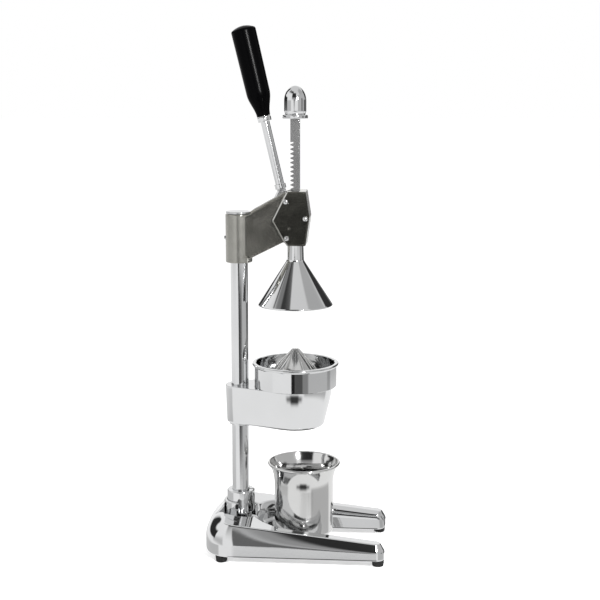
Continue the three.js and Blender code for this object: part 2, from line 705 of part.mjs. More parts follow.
function baseCollar() {
  const ring = roundedSleeve(COLUMN_RADIUS + GAP, COLLAR_RADIUS, COLLAR_HEIGHT, COLLAR_ROUNDING, MIDDLE_ROUND);
  const screwHole = crossBar(COLLAR_SCREW_RADIUS + GAP, -COLLAR_RADIUS - OVERRUN, 0, TINY_ROUND)
    .translate(0, 0, COLLAR_SCREW_RISE);
  const slit = box(COLUMN_RADIUS, COLLAR_RADIUS + OVERRUN, -COLLAR_SLIT * HALF, COLLAR_SLIT * HALF,
    -OVERRUN, COLLAR_HEIGHT + OVERRUN);
  const room = box(0, COLUMN_RADIUS + GAP, -COLLAR_SLIT * HALF, COLLAR_SLIT * HALF, -OVERRUN,
    COLLAR_HEIGHT + OVERRUN);
  return cut(ring, screwHole, slit, room);
}

function collarScrew() {
  const outer = -COLLAR_RADIUS + COLLAR_SCREW_SINK;
  const body = crossBar(COLLAR_SCREW_RADIUS, outer, outer + COLLAR_SCREW_LENGTH, TINY_ROUND);
  const socket = crossBar(COLLAR_SCREW_SOCKET, outer - OVERRUN, outer + COLLAR_SCREW_LENGTH * HALF, 6);
  return cut(body, socket);
}

function addColumn(group) {
  const collarBottom = BOSS_TOP + GAP;
  group.add(placed(named("column", columnBar(), CHROME), COLUMN_X, 0, COLUMN_SEAT));
  group.add(placed(named("column_bolt", columnBolt(), STEEL), COLUMN_X, 0, 0));
  group.add(placed(named("column_washer", columnWasher(), STEEL), COLUMN_X, 0, 0));
  group.add(placed(named("base_collar", baseCollar(), CHROME), COLUMN_X, 0, collarBottom));
  const screwHeight = collarBottom + COLLAR_SCREW_RISE;
  group.add(placed(named("base_collar_screw", collarScrew(), STEEL), COLUMN_X, 0, screwHeight));
}

// Bowl bracket

// A body through outlines of equal length, from the lowest to the highest, each a list of [x, y, z]
function lofted(sections) {
  const size = sections[0].length;
  const places = sections.flat(2);
  const faces = [];
  for (let level = 0; level + 1 < sections.length; level++) {
    for (let place = 0; place < size; place++) {
      const next = (place + 1) % size;
      const [low, lowNext] = [level * size + place, level * size + next];
      const [high, highNext] = [low + size, lowNext + size];
      faces.push(low, lowNext, highNext, low, highNext, high);
    }
  }
  const flat = sections[0].map(([x, y]) => new THREE.Vector2(x, y));
  const top = (sections.length - 1) * size;
  for (const [first, second, third] of THREE.ShapeUtils.triangulateShape(flat, [])) {
    faces.push(third, second, first);
    faces.push(top + first, top + second, top + third);
  }
  const geometry = new THREE.BufferGeometry();
  geometry.setAttribute("position", new THREE.BufferAttribute(new Float32Array(places), 3));
  geometry.setIndex(faces);
  return geometry;
}

// Outline round the eye and the bowl at one height, lower at the bowl by a drop
function bracketOutline(eyeRadius, bowlRadius, height, drop) {
  const lean = Math.asin((bowlRadius - eyeRadius) / PRESS_REACH);
  const edge = QUARTER_TURN + lean;
  const rear = arcPoints(COLUMN_X, 0, eyeRadius, edge, TURN - edge, SMALL_ROUND);
  const front = arcPoints(PRESS_X, 0, bowlRadius, -edge, edge, MIDDLE_ROUND);
  return [...rear, ...front].map(([x, y]) => [x, y, height - drop * (x > COLUMN_X + PRESS_REACH * HALF ? 1 : 0)]);
}

// Eye and bowl in one tapering hull with a rounded lower edge
function bracketHull() {
  const height = BRACKET_TOP - BRACKET_BOTTOM;
  const sections = arcPoints(0, BRACKET_ROUNDING, BRACKET_ROUNDING, -QUARTER_TURN, 0, FILLET_STEPS)
    .map(([out, up]) => {
      const inset = BRACKET_ROUNDING - out;
      const share = up / height;
      const eye = EYE_BOTTOM_RADIUS + (EYE_TOP_RADIUS - EYE_BOTTOM_RADIUS) * share - inset;
      const bowl = BOWL_BOTTOM_RADIUS + (BOWL_TOP_RADIUS - BOWL_BOTTOM_RADIUS) * share - inset;
      return bracketOutline(eye, bowl, BRACKET_BOTTOM + up, BOWL_SINK * (1 - share));
    });
  sections.push(bracketOutline(EYE_TOP_RADIUS, BOWL_TOP_RADIUS, BRACKET_TOP, 0));
  return lofted(sections);
}

function bowlInside() {
  const floor = BRACKET_BOTTOM - BOWL_SINK + BOWL_WALL;
  const lower = BOWL_BOTTOM_RADIUS - BOWL_WALL;
  return turned(
    [
      [0, floor - BOWL_WALL - OVERRUN],
      [OUTLET_RADIUS, floor - BOWL_WALL - OVERRUN],
      [OUTLET_RADIUS, floor],
      [lower - BOWL_FLOOR_CORNER, floor + OUTLET_DISH],
      [lower, floor + OUTLET_DISH + BOWL_FLOOR_CORNER],
      [BOWL_TOP_RADIUS - BOWL_WALL, BRACKET_TOP],
      [BOWL_TOP_RADIUS - BOWL_WALL, BRACKET_TOP + OVERRUN],
      [0, BRACKET_TOP + OVERRUN],
    ],
    LARGE_ROUND
  );
}

function bowlBracket() {
  const boss = bar(EYE_BOSS_RADIUS, EYE_BOSS + BRACKET_ROUNDING, MIDDLE_ROUND)
    .translate(COLUMN_X, 0, BRACKET_BOTTOM - EYE_BOSS);
  const bore = bar(COLUMN_RADIUS + GAP, BRACKET_TOP - BRACKET_BOTTOM + 2 * OVERRUN, MIDDLE_ROUND)
    .translate(COLUMN_X, 0, BRACKET_BOTTOM - OVERRUN);
  const screwHole = bar(COLLAR_SCREW_RADIUS + GAP, EYE_TOP_RADIUS + OVERRUN, TINY_ROUND)
    .rotateY(-QUARTER_TURN).translate(COLUMN_X, 0, BRACKET_BOTTOM + BRACKET_SCREW_RISE);
  const inside = bowlInside().translate(PRESS_X, 0, 0);
  return cut(join(bracketHull(), boss), bore, inside, screwHole);
}

// Socket screw that lies along -X in the eye
function bracketScrew() {
  const inner = COLUMN_RADIUS + GAP;
  const outer = EYE_BOTTOM_RADIUS;
  const body = bar(COLLAR_SCREW_RADIUS, outer - inner, TINY_ROUND).translate(0, 0, inner);
  const socket = bar(COLLAR_SCREW_SOCKET, outer, 6).translate(0, 0, (inner + outer) * HALF);
  return cut(body, socket).rotateY(-QUARTER_TURN);
}

// Strainer ring and reaming cone

function strainerRing() {
  const bottom = BRACKET_TOP + GAP;
  const inner = RING_RADIUS - RING_WALL;
  const lipBottom = RING_TOP - RING_LIP;
  const lipRound = RING_LIP * HALF;
  return turnedRing(
    [
      [RING_FLOOR_OPENING, bottom],
      [RING_FOOT_RADIUS, bottom],
      [RING_RADIUS, lipBottom - lipRound * HALF],
      ...arcPoints(RING_LIP_RADIUS - lipRound, lipBottom + lipRound, lipRound, -QUARTER_TURN, QUARTER_TURN,
        FILLET_STEPS),
      [inner, RING_TOP],
      [inner, bottom + RING_FLOOR],
      [RING_FLOOR_OPENING, bottom + RING_FLOOR],
    ],
    LARGE_ROUND
  );
}

// Sheet dome with an upright rim, ribs outside and holes round its foot
function strainerCone() {
  const bottom = BRACKET_TOP + GAP + RING_FLOOR + GAP;
  const top = bottom + REAMER_RISE;
  const sheet = REAMER_SHEET;
  const waist = (REAMER_SHOULDER_RADIUS + REAMER_TIP_RADIUS) * HALF;
  const middle = (bottom + top) * HALF;
  const shell = turned(
    [
      [0, top - sheet],
      [REAMER_TIP_RADIUS, top - 2 * sheet],
      [waist - sheet, middle],
      [REAMER_SHOULDER_RADIUS - sheet, bottom],
      [REAMER_RIM_RADIUS, bottom],
      [REAMER_RIM_RADIUS, bottom + sheet],
      [REAMER_SHOULDER_RADIUS, bottom + sheet],
      [waist + sheet, middle],
      [REAMER_TIP_RADIUS, top - sheet],
      [0, top],
    ],
    LARGE_ROUND
  );
  const ribs = [];
  for (let rib = 0; rib < REAMER_RIBS; rib++) {
    const points = [
      [0, top - 2 * sheet],
      [waist, middle - sheet],
      [REAMER_SHOULDER_RADIUS - sheet * HALF, bottom + sheet * HALF],
      [REAMER_SHOULDER_RADIUS + REAMER_RIB_RAISE, bottom + sheet],
      [waist + sheet + REAMER_RIB_RAISE, middle + REAMER_RIB_RAISE],
      [REAMER_TIP_RADIUS, top],
      [0, top + REAMER_RIB_RAISE * HALF],
    ];
    ribs.push(sidePlate(outline(points), -REAMER_RIB * HALF, REAMER_RIB * HALF)
      .rotateZ((TURN * rib) / REAMER_RIBS));
  }
  const holes = [];
  for (let hole = 0; hole < STRAINER_HOLES; hole++) {
    holes.push(bar(STRAINER_HOLE, sheet + 2 * OVERRUN, HOLE_ROUND)
      .translate(STRAINER_HOLE_PLACE, 0, bottom - OVERRUN)
      .rotateZ((TURN * (hole + HALF)) / STRAINER_HOLES));
  }
  return cut(join(shell, ...ribs), ...holes);
}

function addBowl(group) {
  group.add(named("bowl_bracket", bowlBracket(), CHROME));
  const screwHeight = BRACKET_BOTTOM + BRACKET_SCREW_RISE;
  group.add(placed(named("bracket_screw", bracketScrew(), STEEL), COLUMN_X, 0, screwHeight));
  group.add(placed(named("strainer_ring", strainerRing(), CHROME), PRESS_X, 0, 0));
  group.add(placed(named("strainer_cone", strainerCone(), STEEL), PRESS_X, 0, 0));
}

// Steel cup with a flared, rolled rim
function juiceCup() {
  const bottom = SHELF_TOP + GAP;
  const flare = CUP_TOP - CUP_ROLL;
  const inner = CUP_RADIUS - CUP_WALL;
  const roll = arcPoints(CUP_RIM_RADIUS, flare, CUP_ROLL, -QUARTER_TURN, QUARTER_TURN, FILLET_STEPS);
  const middle = (CUP_FLARE_START + flare) * HALF;
  const bulge = CUP_RADIUS + (CUP_RIM_RADIUS - CUP_RADIUS) * CUP_FLARE_SHARE;
  return turned(
    [
      [0, bottom + CUP_BOTTOM_RISE],
      [CUP_RADIUS - CUP_CORNER - CUP_SEAT - CUP_BOTTOM_RISE, bottom + CUP_BOTTOM_RISE],
      [CUP_RADIUS - CUP_CORNER - CUP_SEAT, bottom],
      ...arcPoints(CUP_RADIUS - CUP_CORNER, bottom + CUP_CORNER, CUP_CORNER, -QUARTER_TURN, 0, FILLET_STEPS),
      [CUP_RADIUS, CUP_FLARE_START],
      [bulge, middle],
      ...roll,
      [CUP_RIM_RADIUS - CUP_WALL, flare],
      [bulge - CUP_WALL, middle],
      [inner, CUP_FLARE_START],
      [inner, bottom + CUP_CORNER + CUP_WALL],
      [inner - CUP_CORNER * HALF, bottom + CUP_BOTTOM_RISE + CUP_WALL],
      [0, bottom + CUP_BOTTOM_RISE + CUP_WALL],
    ],
    LARGE_ROUND
  );
}

// Gear and rack

const PITCH_RADIUS = (MODULE * GEAR_TEETH) / 2;
const TOOTH_PITCH = MODULE * Math.PI;
const RACK_TIP_X = PRESS_X - RACK_DEPTH * HALF;
const GEAR_X = RACK_TIP_X + MODULE * ADDENDUM_SHARE - PITCH_RADIUS;

function involute(angle) {
  return Math.tan(angle) - angle;
}

// Half the tooth's angle at a radius, thinned by the backlash
function toothHalfAngle(radius) {
  const baseRadius = PITCH_RADIUS * Math.cos(radians(PRESSURE_ANGLE));
  const angle = radius > baseRadius ? Math.acos(baseRadius / radius) : 0;
  const atPitch = (Math.PI * HALF) / GEAR_TEETH - (BACKLASH * HALF) / PITCH_RADIUS;
  return atPitch + involute(radians(PRESSURE_ANGLE)) - involute(angle);
}

// Involute gear with a tooth space towards the rack
function driveGear() {
  const baseRadius = PITCH_RADIUS * Math.cos(radians(PRESSURE_ANGLE));
  const tip = PITCH_RADIUS + MODULE * ADDENDUM_SHARE;
  const root = PITCH_RADIUS - MODULE * DEDENDUM_SHARE;
  const flank = [root, baseRadius, (baseRadius + tip) * HALF, tip];
  const points = [];
  for (let tooth = 0; tooth < GEAR_TEETH; tooth++) {
    const middle = (TURN * (tooth + HALF)) / GEAR_TEETH;
    for (const radius of flank) {
      const angle = middle - toothHalfAngle(radius);
      points.push([radius * Math.cos(angle), radius * Math.sin(angle)]);
    }
    for (const radius of [...flank].reverse()) {
      const angle = middle + toothHalfAngle(radius);
      points.push([radius * Math.cos(angle), radius * Math.sin(angle)]);
    }
  }
  const wheel = sidePlate(outline(points), -GEAR_WIDTH * HALF, GEAR_WIDTH * HALF);
  const bore = crossBar(SHAFT_RADIUS + GAP, -GEAR_WIDTH, GEAR_WIDTH, SMALL_ROUND);
  return cut(wheel, bore);
}

// Heights of the rack, measured from the gear's axis, when the lever is up
const NECK_TOP = HOUSING_BOTTOM - GAP;

function toothedRack() {
  const addendum = MODULE * ADDENDUM_SHARE;
  const root = addendum + MODULE * DEDENDUM_SHARE;
  const lean = Math.tan(radians(PRESSURE_ANGLE));
  const halfTip = TOOTH_PITCH / 4 - addendum * lean - BACKLASH * HALF;
  const halfRoot = TOOTH_PITCH / 4 + MODULE * DEDENDUM_SHARE * lean - BACKLASH * HALF;
  const first = Math.ceil((RACK_TOOTH_BOTTOM - MESH_HEIGHT) / TOOTH_PITCH);
  const last = Math.floor((RACK_TOOTH_TOP - MESH_HEIGHT) / TOOTH_PITCH);
  const points = [
    [RACK_DEPTH, NECK_TOP + GAP],
    [RACK_DEPTH, KNOB_BOTTOM - GAP],
    [0, KNOB_BOTTOM - GAP],
    [0, MESH_HEIGHT + (last + HALF) * TOOTH_PITCH + halfTip],
  ];
  for (let tooth = last; tooth >= first; tooth--) {
    const middle = MESH_HEIGHT + tooth * TOOTH_PITCH;
    points.push([root, middle + halfRoot]);
    points.push([0, middle + halfTip]);
    points.push([0, middle - halfTip]);
    points.push([root, middle - halfRoot]);
  }
  points.push([0, MESH_HEIGHT + (first - HALF) * TOOTH_PITCH - halfTip]);
  points.push([0, NECK_TOP + GAP]);
  const rack = sidePlate(outline(points.reverse()), -RACK_WIDTH * HALF, RACK_WIDTH * HALF)
    .translate(RACK_TIP_X, 0, 0);
  const studBottom = CONE_HUB_BOTTOM - CONE_NUT - 2 * GAP - RACK_STUD_RADIUS * HALF;
  const lowerStud = bar(RACK_STUD_RADIUS, NECK_TOP + GAP - studBottom + MODULE, SMALL_ROUND)
    .translate(PRESS_X, 0, studBottom);
  const upperStud = bar(RACK_STUD_RADIUS, RACK_KNOB_REACH + MODULE, SMALL_ROUND)
    .translate(PRESS_X, 0, KNOB_BOTTOM - GAP - MODULE);
  return join(rack, lowerStud, upperStud);
}

// Acorn knob
function rackKnob() {
  const bodyTop = KNOB_HEIGHT - KNOB_BODY_RADIUS * KNOB_DOME_SHARE;
  const dome = [];
  for (let step = 0; step < DOME_STEPS; step++) {
    const angle = (QUARTER_TURN * step) / DOME_STEPS;
    dome.push([
      KNOB_BODY_RADIUS * Math.cos(angle),
      bodyTop + (KNOB_HEIGHT - bodyTop) * Math.sin(angle),
    ]);
  }
  const bore = RACK_STUD_RADIUS + GAP;
  const edge = KNOB_FLANGE * HALF;
  return turned(
    [
      [0, RACK_KNOB_REACH + GAP],
      [bore, RACK_KNOB_REACH + GAP],
      [bore, 0],
      [KNOB_FLANGE_RADIUS - edge * HALF, 0],
      [KNOB_FLANGE_RADIUS, edge * HALF],
      [KNOB_FLANGE_RADIUS, KNOB_FLANGE - edge * HALF],
      [KNOB_FLANGE_RADIUS - edge, KNOB_FLANGE],
      [KNOB_BODY_RADIUS - KNOB_NECK * HALF, KNOB_FLANGE + KNOB_NECK * HALF],
      [KNOB_BODY_RADIUS, KNOB_FLANGE + KNOB_NECK + edge],
      ...dome,
      [0, KNOB_HEIGHT],
    ],
    MIDDLE_ROUND
  );
}

// Bell-shaped press cone with its neck and an inner hub for the nut
function pressCone() {
  const bore = RACK_STUD_RADIUS + GAP;
  const slope = (CONE_RADIUS - CONE_NECK_RADIUS) / (CONE_NECK_BOTTOM - CONE_BOTTOM);
  const wallAcross = CONE_WALL * Math.sqrt(1 + slope * slope);
  const hubHeight = CONE_NECK_BOTTOM - (CONE_HUB_RADIUS + wallAcross - CONE_NECK_RADIUS) / slope;
  return turnedRing(
    [
      [bore, CONE_HUB_BOTTOM],
      [CONE_HUB_RADIUS, CONE_HUB_BOTTOM],
      [CONE_HUB_RADIUS, Math.max(hubHeight, CONE_HUB_BOTTOM + GAP)],
      [CONE_RADIUS - wallAcross, CONE_BOTTOM + CONE_EDGE],
      [CONE_RADIUS - wallAcross, CONE_BOTTOM],
      [CONE_RADIUS - CONE_EDGE * HALF, CONE_BOTTOM],
      [CONE_RADIUS, CONE_BOTTOM + CONE_EDGE * HALF],
      [CONE_RADIUS - CONE_EDGE * slope * HALF, CONE_BOTTOM + CONE_EDGE],
      [CONE_NECK_RADIUS + CONE_EDGE, CONE_NECK_BOTTOM - CONE_EDGE],
      [CONE_NECK_RADIUS, CONE_NECK_BOTTOM + CONE_EDGE],
      [CONE_NECK_RADIUS, NECK_TOP],
      [bore, NECK_TOP],
    ],
    LARGE_ROUND
  );
}

function coneNut() {
  const top = CONE_HUB_BOTTOM - GAP;
  const nut = new THREE.CylinderGeometry(CONE_NUT_RADIUS, CONE_NUT_RADIUS, CONE_NUT, 6)
    .rotateX(QUARTER_TURN).translate(0, 0, top - CONE_NUT * HALF);
  const thread = bar(RACK_STUD_RADIUS + GAP, CONE_NUT + 2 * OVERRUN, SMALL_ROUND)
    .translate(0, 0, top - CONE_NUT - OVERRUN);
  return cut(nut, thread);
}

function addPress(group) {
  group.add(named("rack", toothedRack(), CHROME));
  group.add(placed(named("rack_knob", rackKnob(), CHROME), PRESS_X, 0, KNOB_BOTTOM));
  group.add(placed(named("press_cone", pressCone(), CHROME), PRESS_X, 0, 0));
  group.add(placed(named("cone_nut", coneNut(), STEEL), PRESS_X, 0, 0));
}

// Head arm, its covers and screws

function housingOutline() {
  return outline([
    [COLUMN_X, ARM_ROOT_BOTTOM],
    [COLUMN_X + ARM_ROOT, ARM_ROOT_BOTTOM],
    [COLUMN_X + PLATE_LOWER_REAR, ARM_TIP_BOTTOM],
    [COLUMN_X + HOUSING_REAR, HOUSING_BOTTOM],
    [COLUMN_X + HOUSING_FRONT, HOUSING_BOTTOM],
    [COLUMN_X + HOUSING_NOSE, HOUSING_NOSE_HEIGHT],
    [COLUMN_X + HOUSING_FRONT, HOUSING_TOP],
    [COLUMN_X + HOUSING_REAR, HOUSING_TOP],
    [COLUMN_X + ARM_TIP, ARM_TIP_TOP],
    [COLUMN_X + CAP_RADIUS + 2 * GAP, ARM_ROOT_TOP],
    [COLUMN_X + CAP_RADIUS + 2 * GAP, HEAD_SLEEVE_TOP],
    [COLUMN_X, HEAD_SLEEVE_TOP],
  ]);
}

function plateOutline() {
  return outline([
    [COLUMN_X + PLATE_REAR, PLATE_REAR_HEIGHT],
    [COLUMN_X + PLATE_LOWER_REAR, PLATE_LOWER_HEIGHT],
    [COLUMN_X + HOUSING_REAR, HOUSING_BOTTOM],
    [COLUMN_X + HOUSING_FRONT, HOUSING_BOTTOM],
    [COLUMN_X + HOUSING_NOSE, HOUSING_NOSE_HEIGHT],
    [COLUMN_X + HOUSING_FRONT, HOUSING_TOP],
    [COLUMN_X + HOUSING_REAR, HOUSING_TOP],
    [COLUMN_X + PLATE_UPPER_REAR, PLATE_UPPER_HEIGHT],
  ]);
}

function screwPlaces() {
  return [
    [COLUMN_X + UPPER_SCREW_X, UPPER_SCREW_HEIGHT],
    [COLUMN_X + LOWER_SCREW_X, LOWER_SCREW_HEIGHT],
    [COLUMN_X + FRONT_SCREW_X, FRONT_SCREW_HEIGHT],
  ];
}

function headArm() {
  const side = HEAD_WIDTH * HALF;
  const sleeve = bar(HEAD_SLEEVE_RADIUS, HEAD_SLEEVE_TOP - HEAD_BOTTOM, MIDDLE_ROUND)
    .translate(COLUMN_X, 0, HEAD_BOTTOM);
  const body = join(sleeve, sidePlate(housingOutline(), -side, side, HEAD_BEVEL));
  const bore = bar(COLUMN_RADIUS + GAP, HEAD_SLEEVE_TOP - HEAD_BOTTOM + 2 * OVERRUN, MIDDLE_ROUND)
    .translate(COLUMN_X, 0, HEAD_BOTTOM - OVERRUN);
  const slotSide = GEAR_WIDTH * HALF + GEAR_SLOT_CLEARANCE;
  const slotRadius = PITCH_RADIUS + MODULE * ADDENDUM_SHARE + GEAR_SLOT_CLEARANCE;
  const pocket = crossBar(slotRadius, -slotSide, slotSide, LARGE_ROUND).translate(GEAR_X, 0, MESH_HEIGHT);
  const slot = box(GEAR_X - slotRadius, RACK_TIP_X + MODULE, -slotSide, slotSide, MESH_HEIGHT,
    HOUSING_TOP + OVERRUN);
  const channelSide = RACK_WIDTH * HALF + CHANNEL_CLEARANCE;
  const channel = box(RACK_TIP_X - CHANNEL_CLEARANCE, RACK_TIP_X + RACK_DEPTH + CHANNEL_CLEARANCE,
    -channelSide, channelSide, HOUSING_BOTTOM - OVERRUN, HOUSING_TOP + OVERRUN);
  const blindBore = crossBar(SHAFT_RADIUS + GAP, -slotSide - SHAFT_BLIND - GAP, 0, SMALL_ROUND)
    .translate(GEAR_X, 0, MESH_HEIGHT);
  const bushBore = crossBar(SHAFT_RADIUS + GAP + BUSH_WALL + GAP, 0, side + OVERRUN, SMALL_ROUND)
    .translate(GEAR_X, 0, MESH_HEIGHT);
  const holeEnd = side - PLATE_SCREW_REACH - GAP;
  const holes = screwPlaces().flatMap(([x, z]) => [
    crossBar(PLATE_SCREW_RADIUS + GAP, holeEnd, side + OVERRUN, TINY_ROUND).translate(x, 0, z),
    crossBar(PLATE_SCREW_RADIUS + GAP, -side - OVERRUN, -holeEnd, TINY_ROUND).translate(x, 0, z),
  ]);
  const setScrewHole = bar(HEAD_SCREW_RADIUS + GAP, HEAD_SLEEVE_RADIUS + OVERRUN, TINY_ROUND)
    .rotateY(-QUARTER_TURN).translate(COLUMN_X, 0, HEAD_SCREW_HEIGHT);
  return cut(body, bore, pocket, slot, channel, blindBore, bushBore, setScrewHole, ...holes);
}

function columnCap() {
  return chamferedBar(CAP_RADIUS, CAP_THICKNESS, CAP_THICKNESS * HALF * HALF, MIDDLE_ROUND);
}

function headSetScrew() {
  const inner = COLUMN_RADIUS + GAP;
  const outer = HEAD_SLEEVE_RADIUS + HEAD_SCREW_SHOW;
  const body = bar(HEAD_SCREW_RADIUS, outer - inner, TINY_ROUND).translate(0, 0, inner);
  const slot = box(-HEAD_SCREW_RADIUS - OVERRUN, HEAD_SCREW_RADIUS + OVERRUN, -PLATE_SCREW_SLOT * HALF,
    PLATE_SCREW_SLOT * HALF, outer - PLATE_SCREW_SLOT_DEPTH, outer + OVERRUN);
  return cut(body, slot).rotateY(-QUARTER_TURN);
}

// Cover plate that lies against the near side
function coverPlate() {
  const inner = -HEAD_WIDTH * HALF - GAP;
  const outer = inner - PLATE_THICKNESS;
  const plate = sidePlate(plateOutline(), outer, inner + PLATE_CHAMFER, PLATE_CHAMFER);
  const span = BASE_LENGTH;
  const behind = box(-span, span, inner, inner + span, 0, span * 3);
  const holes = screwPlaces().map(([x, z]) =>
    crossBar(PLATE_SCREW_RADIUS + GAP, outer - OVERRUN, inner + OVERRUN, TINY_ROUND).translate(x, 0, z)
  );
  return cut(plate, behind, ...holes);
}

function nearPlate() {
  const outer = -HEAD_WIDTH * HALF - GAP - PLATE_THICKNESS;
  const oilHole = crossBar(OIL_HOLE_RADIUS, outer - OVERRUN, -HEAD_WIDTH * HALF + OVERRUN, TINY_ROUND)
    .translate(COLUMN_X + OIL_HOLE_X, 0, OIL_HOLE_HEIGHT);
  return cut(coverPlate(), oilHole);
}

// The far plate is turned over and gives room to the hub
function farPlate() {
  const plate = coverPlate().scale(1, -1, 1);
  const index = plate.getIndex();
  for (let corner = 0; corner < index.count; corner += 3) {
    const second = index.getX(corner + 1);
    index.setX(corner + 1, index.getX(corner + 2));
    index.setX(corner + 2, second);
  }
  const room = crossBar(HUB_BOSS_RADIUS + 2 * GAP, 0, HEAD_WIDTH, MIDDLE_ROUND)
    .translate(GEAR_X, 0, MESH_HEIGHT);
  return cut(plate, room);
}

// Round-head screw along +Z, its head's seat at z = 0
function plateScrew() {
  const length = PLATE_THICKNESS + GAP + PLATE_SCREW_REACH;
  const head = [];
  for (let step = 0; step < FILLET_STEPS; step++) {
    const angle = (QUARTER_TURN * step) / FILLET_STEPS;
    head.push([PLATE_SCREW_HEAD_RADIUS * Math.cos(angle), PLATE_SCREW_HEAD * Math.sin(angle)]);
  }
  const body = turned(
    [[0, -length], [PLATE_SCREW_RADIUS, -length], [PLATE_SCREW_RADIUS, 0], ...head, [0, PLATE_SCREW_HEAD]],
    TINY_ROUND
  );
  const reach = PLATE_SCREW_HEAD_RADIUS + OVERRUN;
  const slot = box(-reach, reach, -PLATE_SCREW_SLOT * HALF, PLATE_SCREW_SLOT * HALF,
    PLATE_SCREW_HEAD - PLATE_SCREW_SLOT_DEPTH, PLATE_SCREW_HEAD + OVERRUN);
  return cut(body, slot);
}

function addHead(group) {
  group.add(named("head_arm", headArm(), GREY_ENAMEL));
  group.add(placed(named("column_cap", columnCap(), STEEL), COLUMN_X, 0, HEAD_SLEEVE_TOP + GAP));
  group.add(placed(named("head_set_screw", headSetScrew(), STEEL), COLUMN_X, 0, HEAD_SCREW_HEIGHT));
  group.add(named("cover_plate_near", nearPlate(), DARK_ENAMEL));
  group.add(named("cover_plate_far", farPlate(), DARK_ENAMEL));
  const seat = HEAD_WIDTH * HALF + GAP + PLATE_THICKNESS + GAP;
  screwPlaces().forEach(([x, z], place) => {
    const near = placed(named(`plate_screw_near_${place + 1}`, plateScrew(), STEEL), x, -seat, z);
    near.rotation.x = QUARTER_TURN;
    const far = placed(named(`plate_screw_far_${place + 1}`, plateScrew(), STEEL), x, seat, z);
    far.rotation.x = -QUARTER_TURN;
    group.add(near, far);
  });
}

// Shaft, bush, hub and lever

const FLANGE_FACE = HEAD_WIDTH * HALF + GAP + BUSH_FLANGE;
const HUB_INNER = LEVER_SIDE - HUB_WIDTH * HALF;
const HUB_OUTER = LEVER_SIDE + HUB_WIDTH * HALF;

function gearShaft() {
  const slotSide = GEAR_WIDTH * HALF + GEAR_SLOT_CLEARANCE;
  const shaft = crossBar(SHAFT_RADIUS, -slotSide - SHAFT_BLIND, HUB_OUTER - HUB_BEVEL, SMALL_ROUND);
  const thread = crossBar(SHAFT_THREAD_RADIUS, 0, HUB_OUTER + GAP + HUB_NUT, SMALL_ROUND);
  return join(shaft, thread);
}

function shaftBush() {
  const slotSide = GEAR_WIDTH * HALF + GEAR_SLOT_CLEARANCE;
  const inner = SHAFT_RADIUS + GAP;
  const outer = inner + BUSH_WALL;
  const seat = HEAD_WIDTH * HALF + GAP;
  return turnedRing(
    [
      [inner, slotSide],
      [outer, slotSide],
      [outer, seat],
      [BUSH_FLANGE_RADIUS, seat],
      [BUSH_FLANGE_RADIUS, FLANGE_FACE],
      [inner, FLANGE_FACE],
    ],
    SMALL_ROUND
  ).rotateX(-QUARTER_TURN);
}

// Crank of the lever: a boss on the shaft and a socket for the rod
function leverHub() {
  const tilt = radians(LEVER_TILT);
  const rise = LEVER_COLLAR_RISE - GAP - HUB_SOCKET_ROUND;
  const socketX = LEVER_LEAD - rise * Math.sin(tilt);
  const socketZ = rise * Math.cos(tilt);
  const reach = Math.hypot(socketX, socketZ);
  const lean = Math.asin((HUB_SOCKET_ROUND - HUB_ROUND) / reach);
  const edge = QUARTER_TURN + lean;
  const direction = Math.atan2(socketZ, socketX);
  const rear = arcPoints(0, 0, HUB_ROUND, direction + edge, direction + TURN - edge, MIDDLE_ROUND * HALF);
  const front = arcPoints(socketX, socketZ, HUB_SOCKET_ROUND, direction - edge, direction + edge,
    SMALL_ROUND * HALF);
  const crank = sidePlate(outline([...rear, ...front]), HUB_INNER, HUB_OUTER, HUB_BEVEL);
  const boss = crossBar(HUB_BOSS_RADIUS, FLANGE_FACE + GAP, HUB_INNER + HUB_BEVEL, MIDDLE_ROUND);
  const bore = crossBar(SHAFT_RADIUS + GAP, 0, HUB_OUTER - HUB_BEVEL + GAP, SMALL_ROUND);
  const threadBore = crossBar(SHAFT_THREAD_RADIUS + GAP, 0, HUB_OUTER + OVERRUN, SMALL_ROUND);
  const socketBottom = LEVER_COLLAR_RISE - GAP - HUB_SOCKET_DEPTH - GAP;
  const socket = bar(ROD_RADIUS + GAP, HUB_SOCKET_DEPTH * 2, SMALL_ROUND)
    .translate(0, 0, socketBottom).rotateY(-tilt).translate(LEVER_LEAD, LEVER_SIDE, 0);
  return cut(join(crank, boss), bore, threadBore, socket);
}

function hubNut() {
  const seat = HUB_OUTER + GAP;
  const body = new THREE.CylinderGeometry(HUB_NUT_RADIUS, HUB_NUT_RADIUS, HUB_NUT, 6)
    .translate(0, seat + HUB_NUT * HALF, 0);
  const crownPoints = HUB_NUT_CROWN_SHARES.map(([out, up]) => [HUB_NUT_RADIUS * out, HUB_NUT_DOME * up]);
  const crown = turned([[0, 0], ...crownPoints, [0, HUB_NUT_DOME]], SMALL_ROUND)
    .rotateX(-QUARTER_TURN).translate(0, seat + HUB_NUT - GAP, 0);
  const thread = crossBar(SHAFT_THREAD_RADIUS + GAP, 0, seat + HUB_NUT + GAP, SMALL_ROUND);
  return cut(join(body, crown), thread);
}

function leverRod() {
  const bottom = LEVER_COLLAR_RISE - GAP - HUB_SOCKET_DEPTH;
  const top = GRIP_RISE + GRIP_LENGTH * GRIP_BORE_SHARE - GAP;
  return chamferedBar(ROD_RADIUS, top - bottom, COLUMN_CHAMFER * HALF, SMALL_ROUND).translate(0, 0, bottom);
}

function leverCollar() {
  return roundedSleeve(ROD_RADIUS + GAP, LEVER_COLLAR_RADIUS, LEVER_COLLAR, COLUMN_CHAMFER * HALF, SMALL_ROUND)
    .translate(0, 0, LEVER_COLLAR_RISE);
}

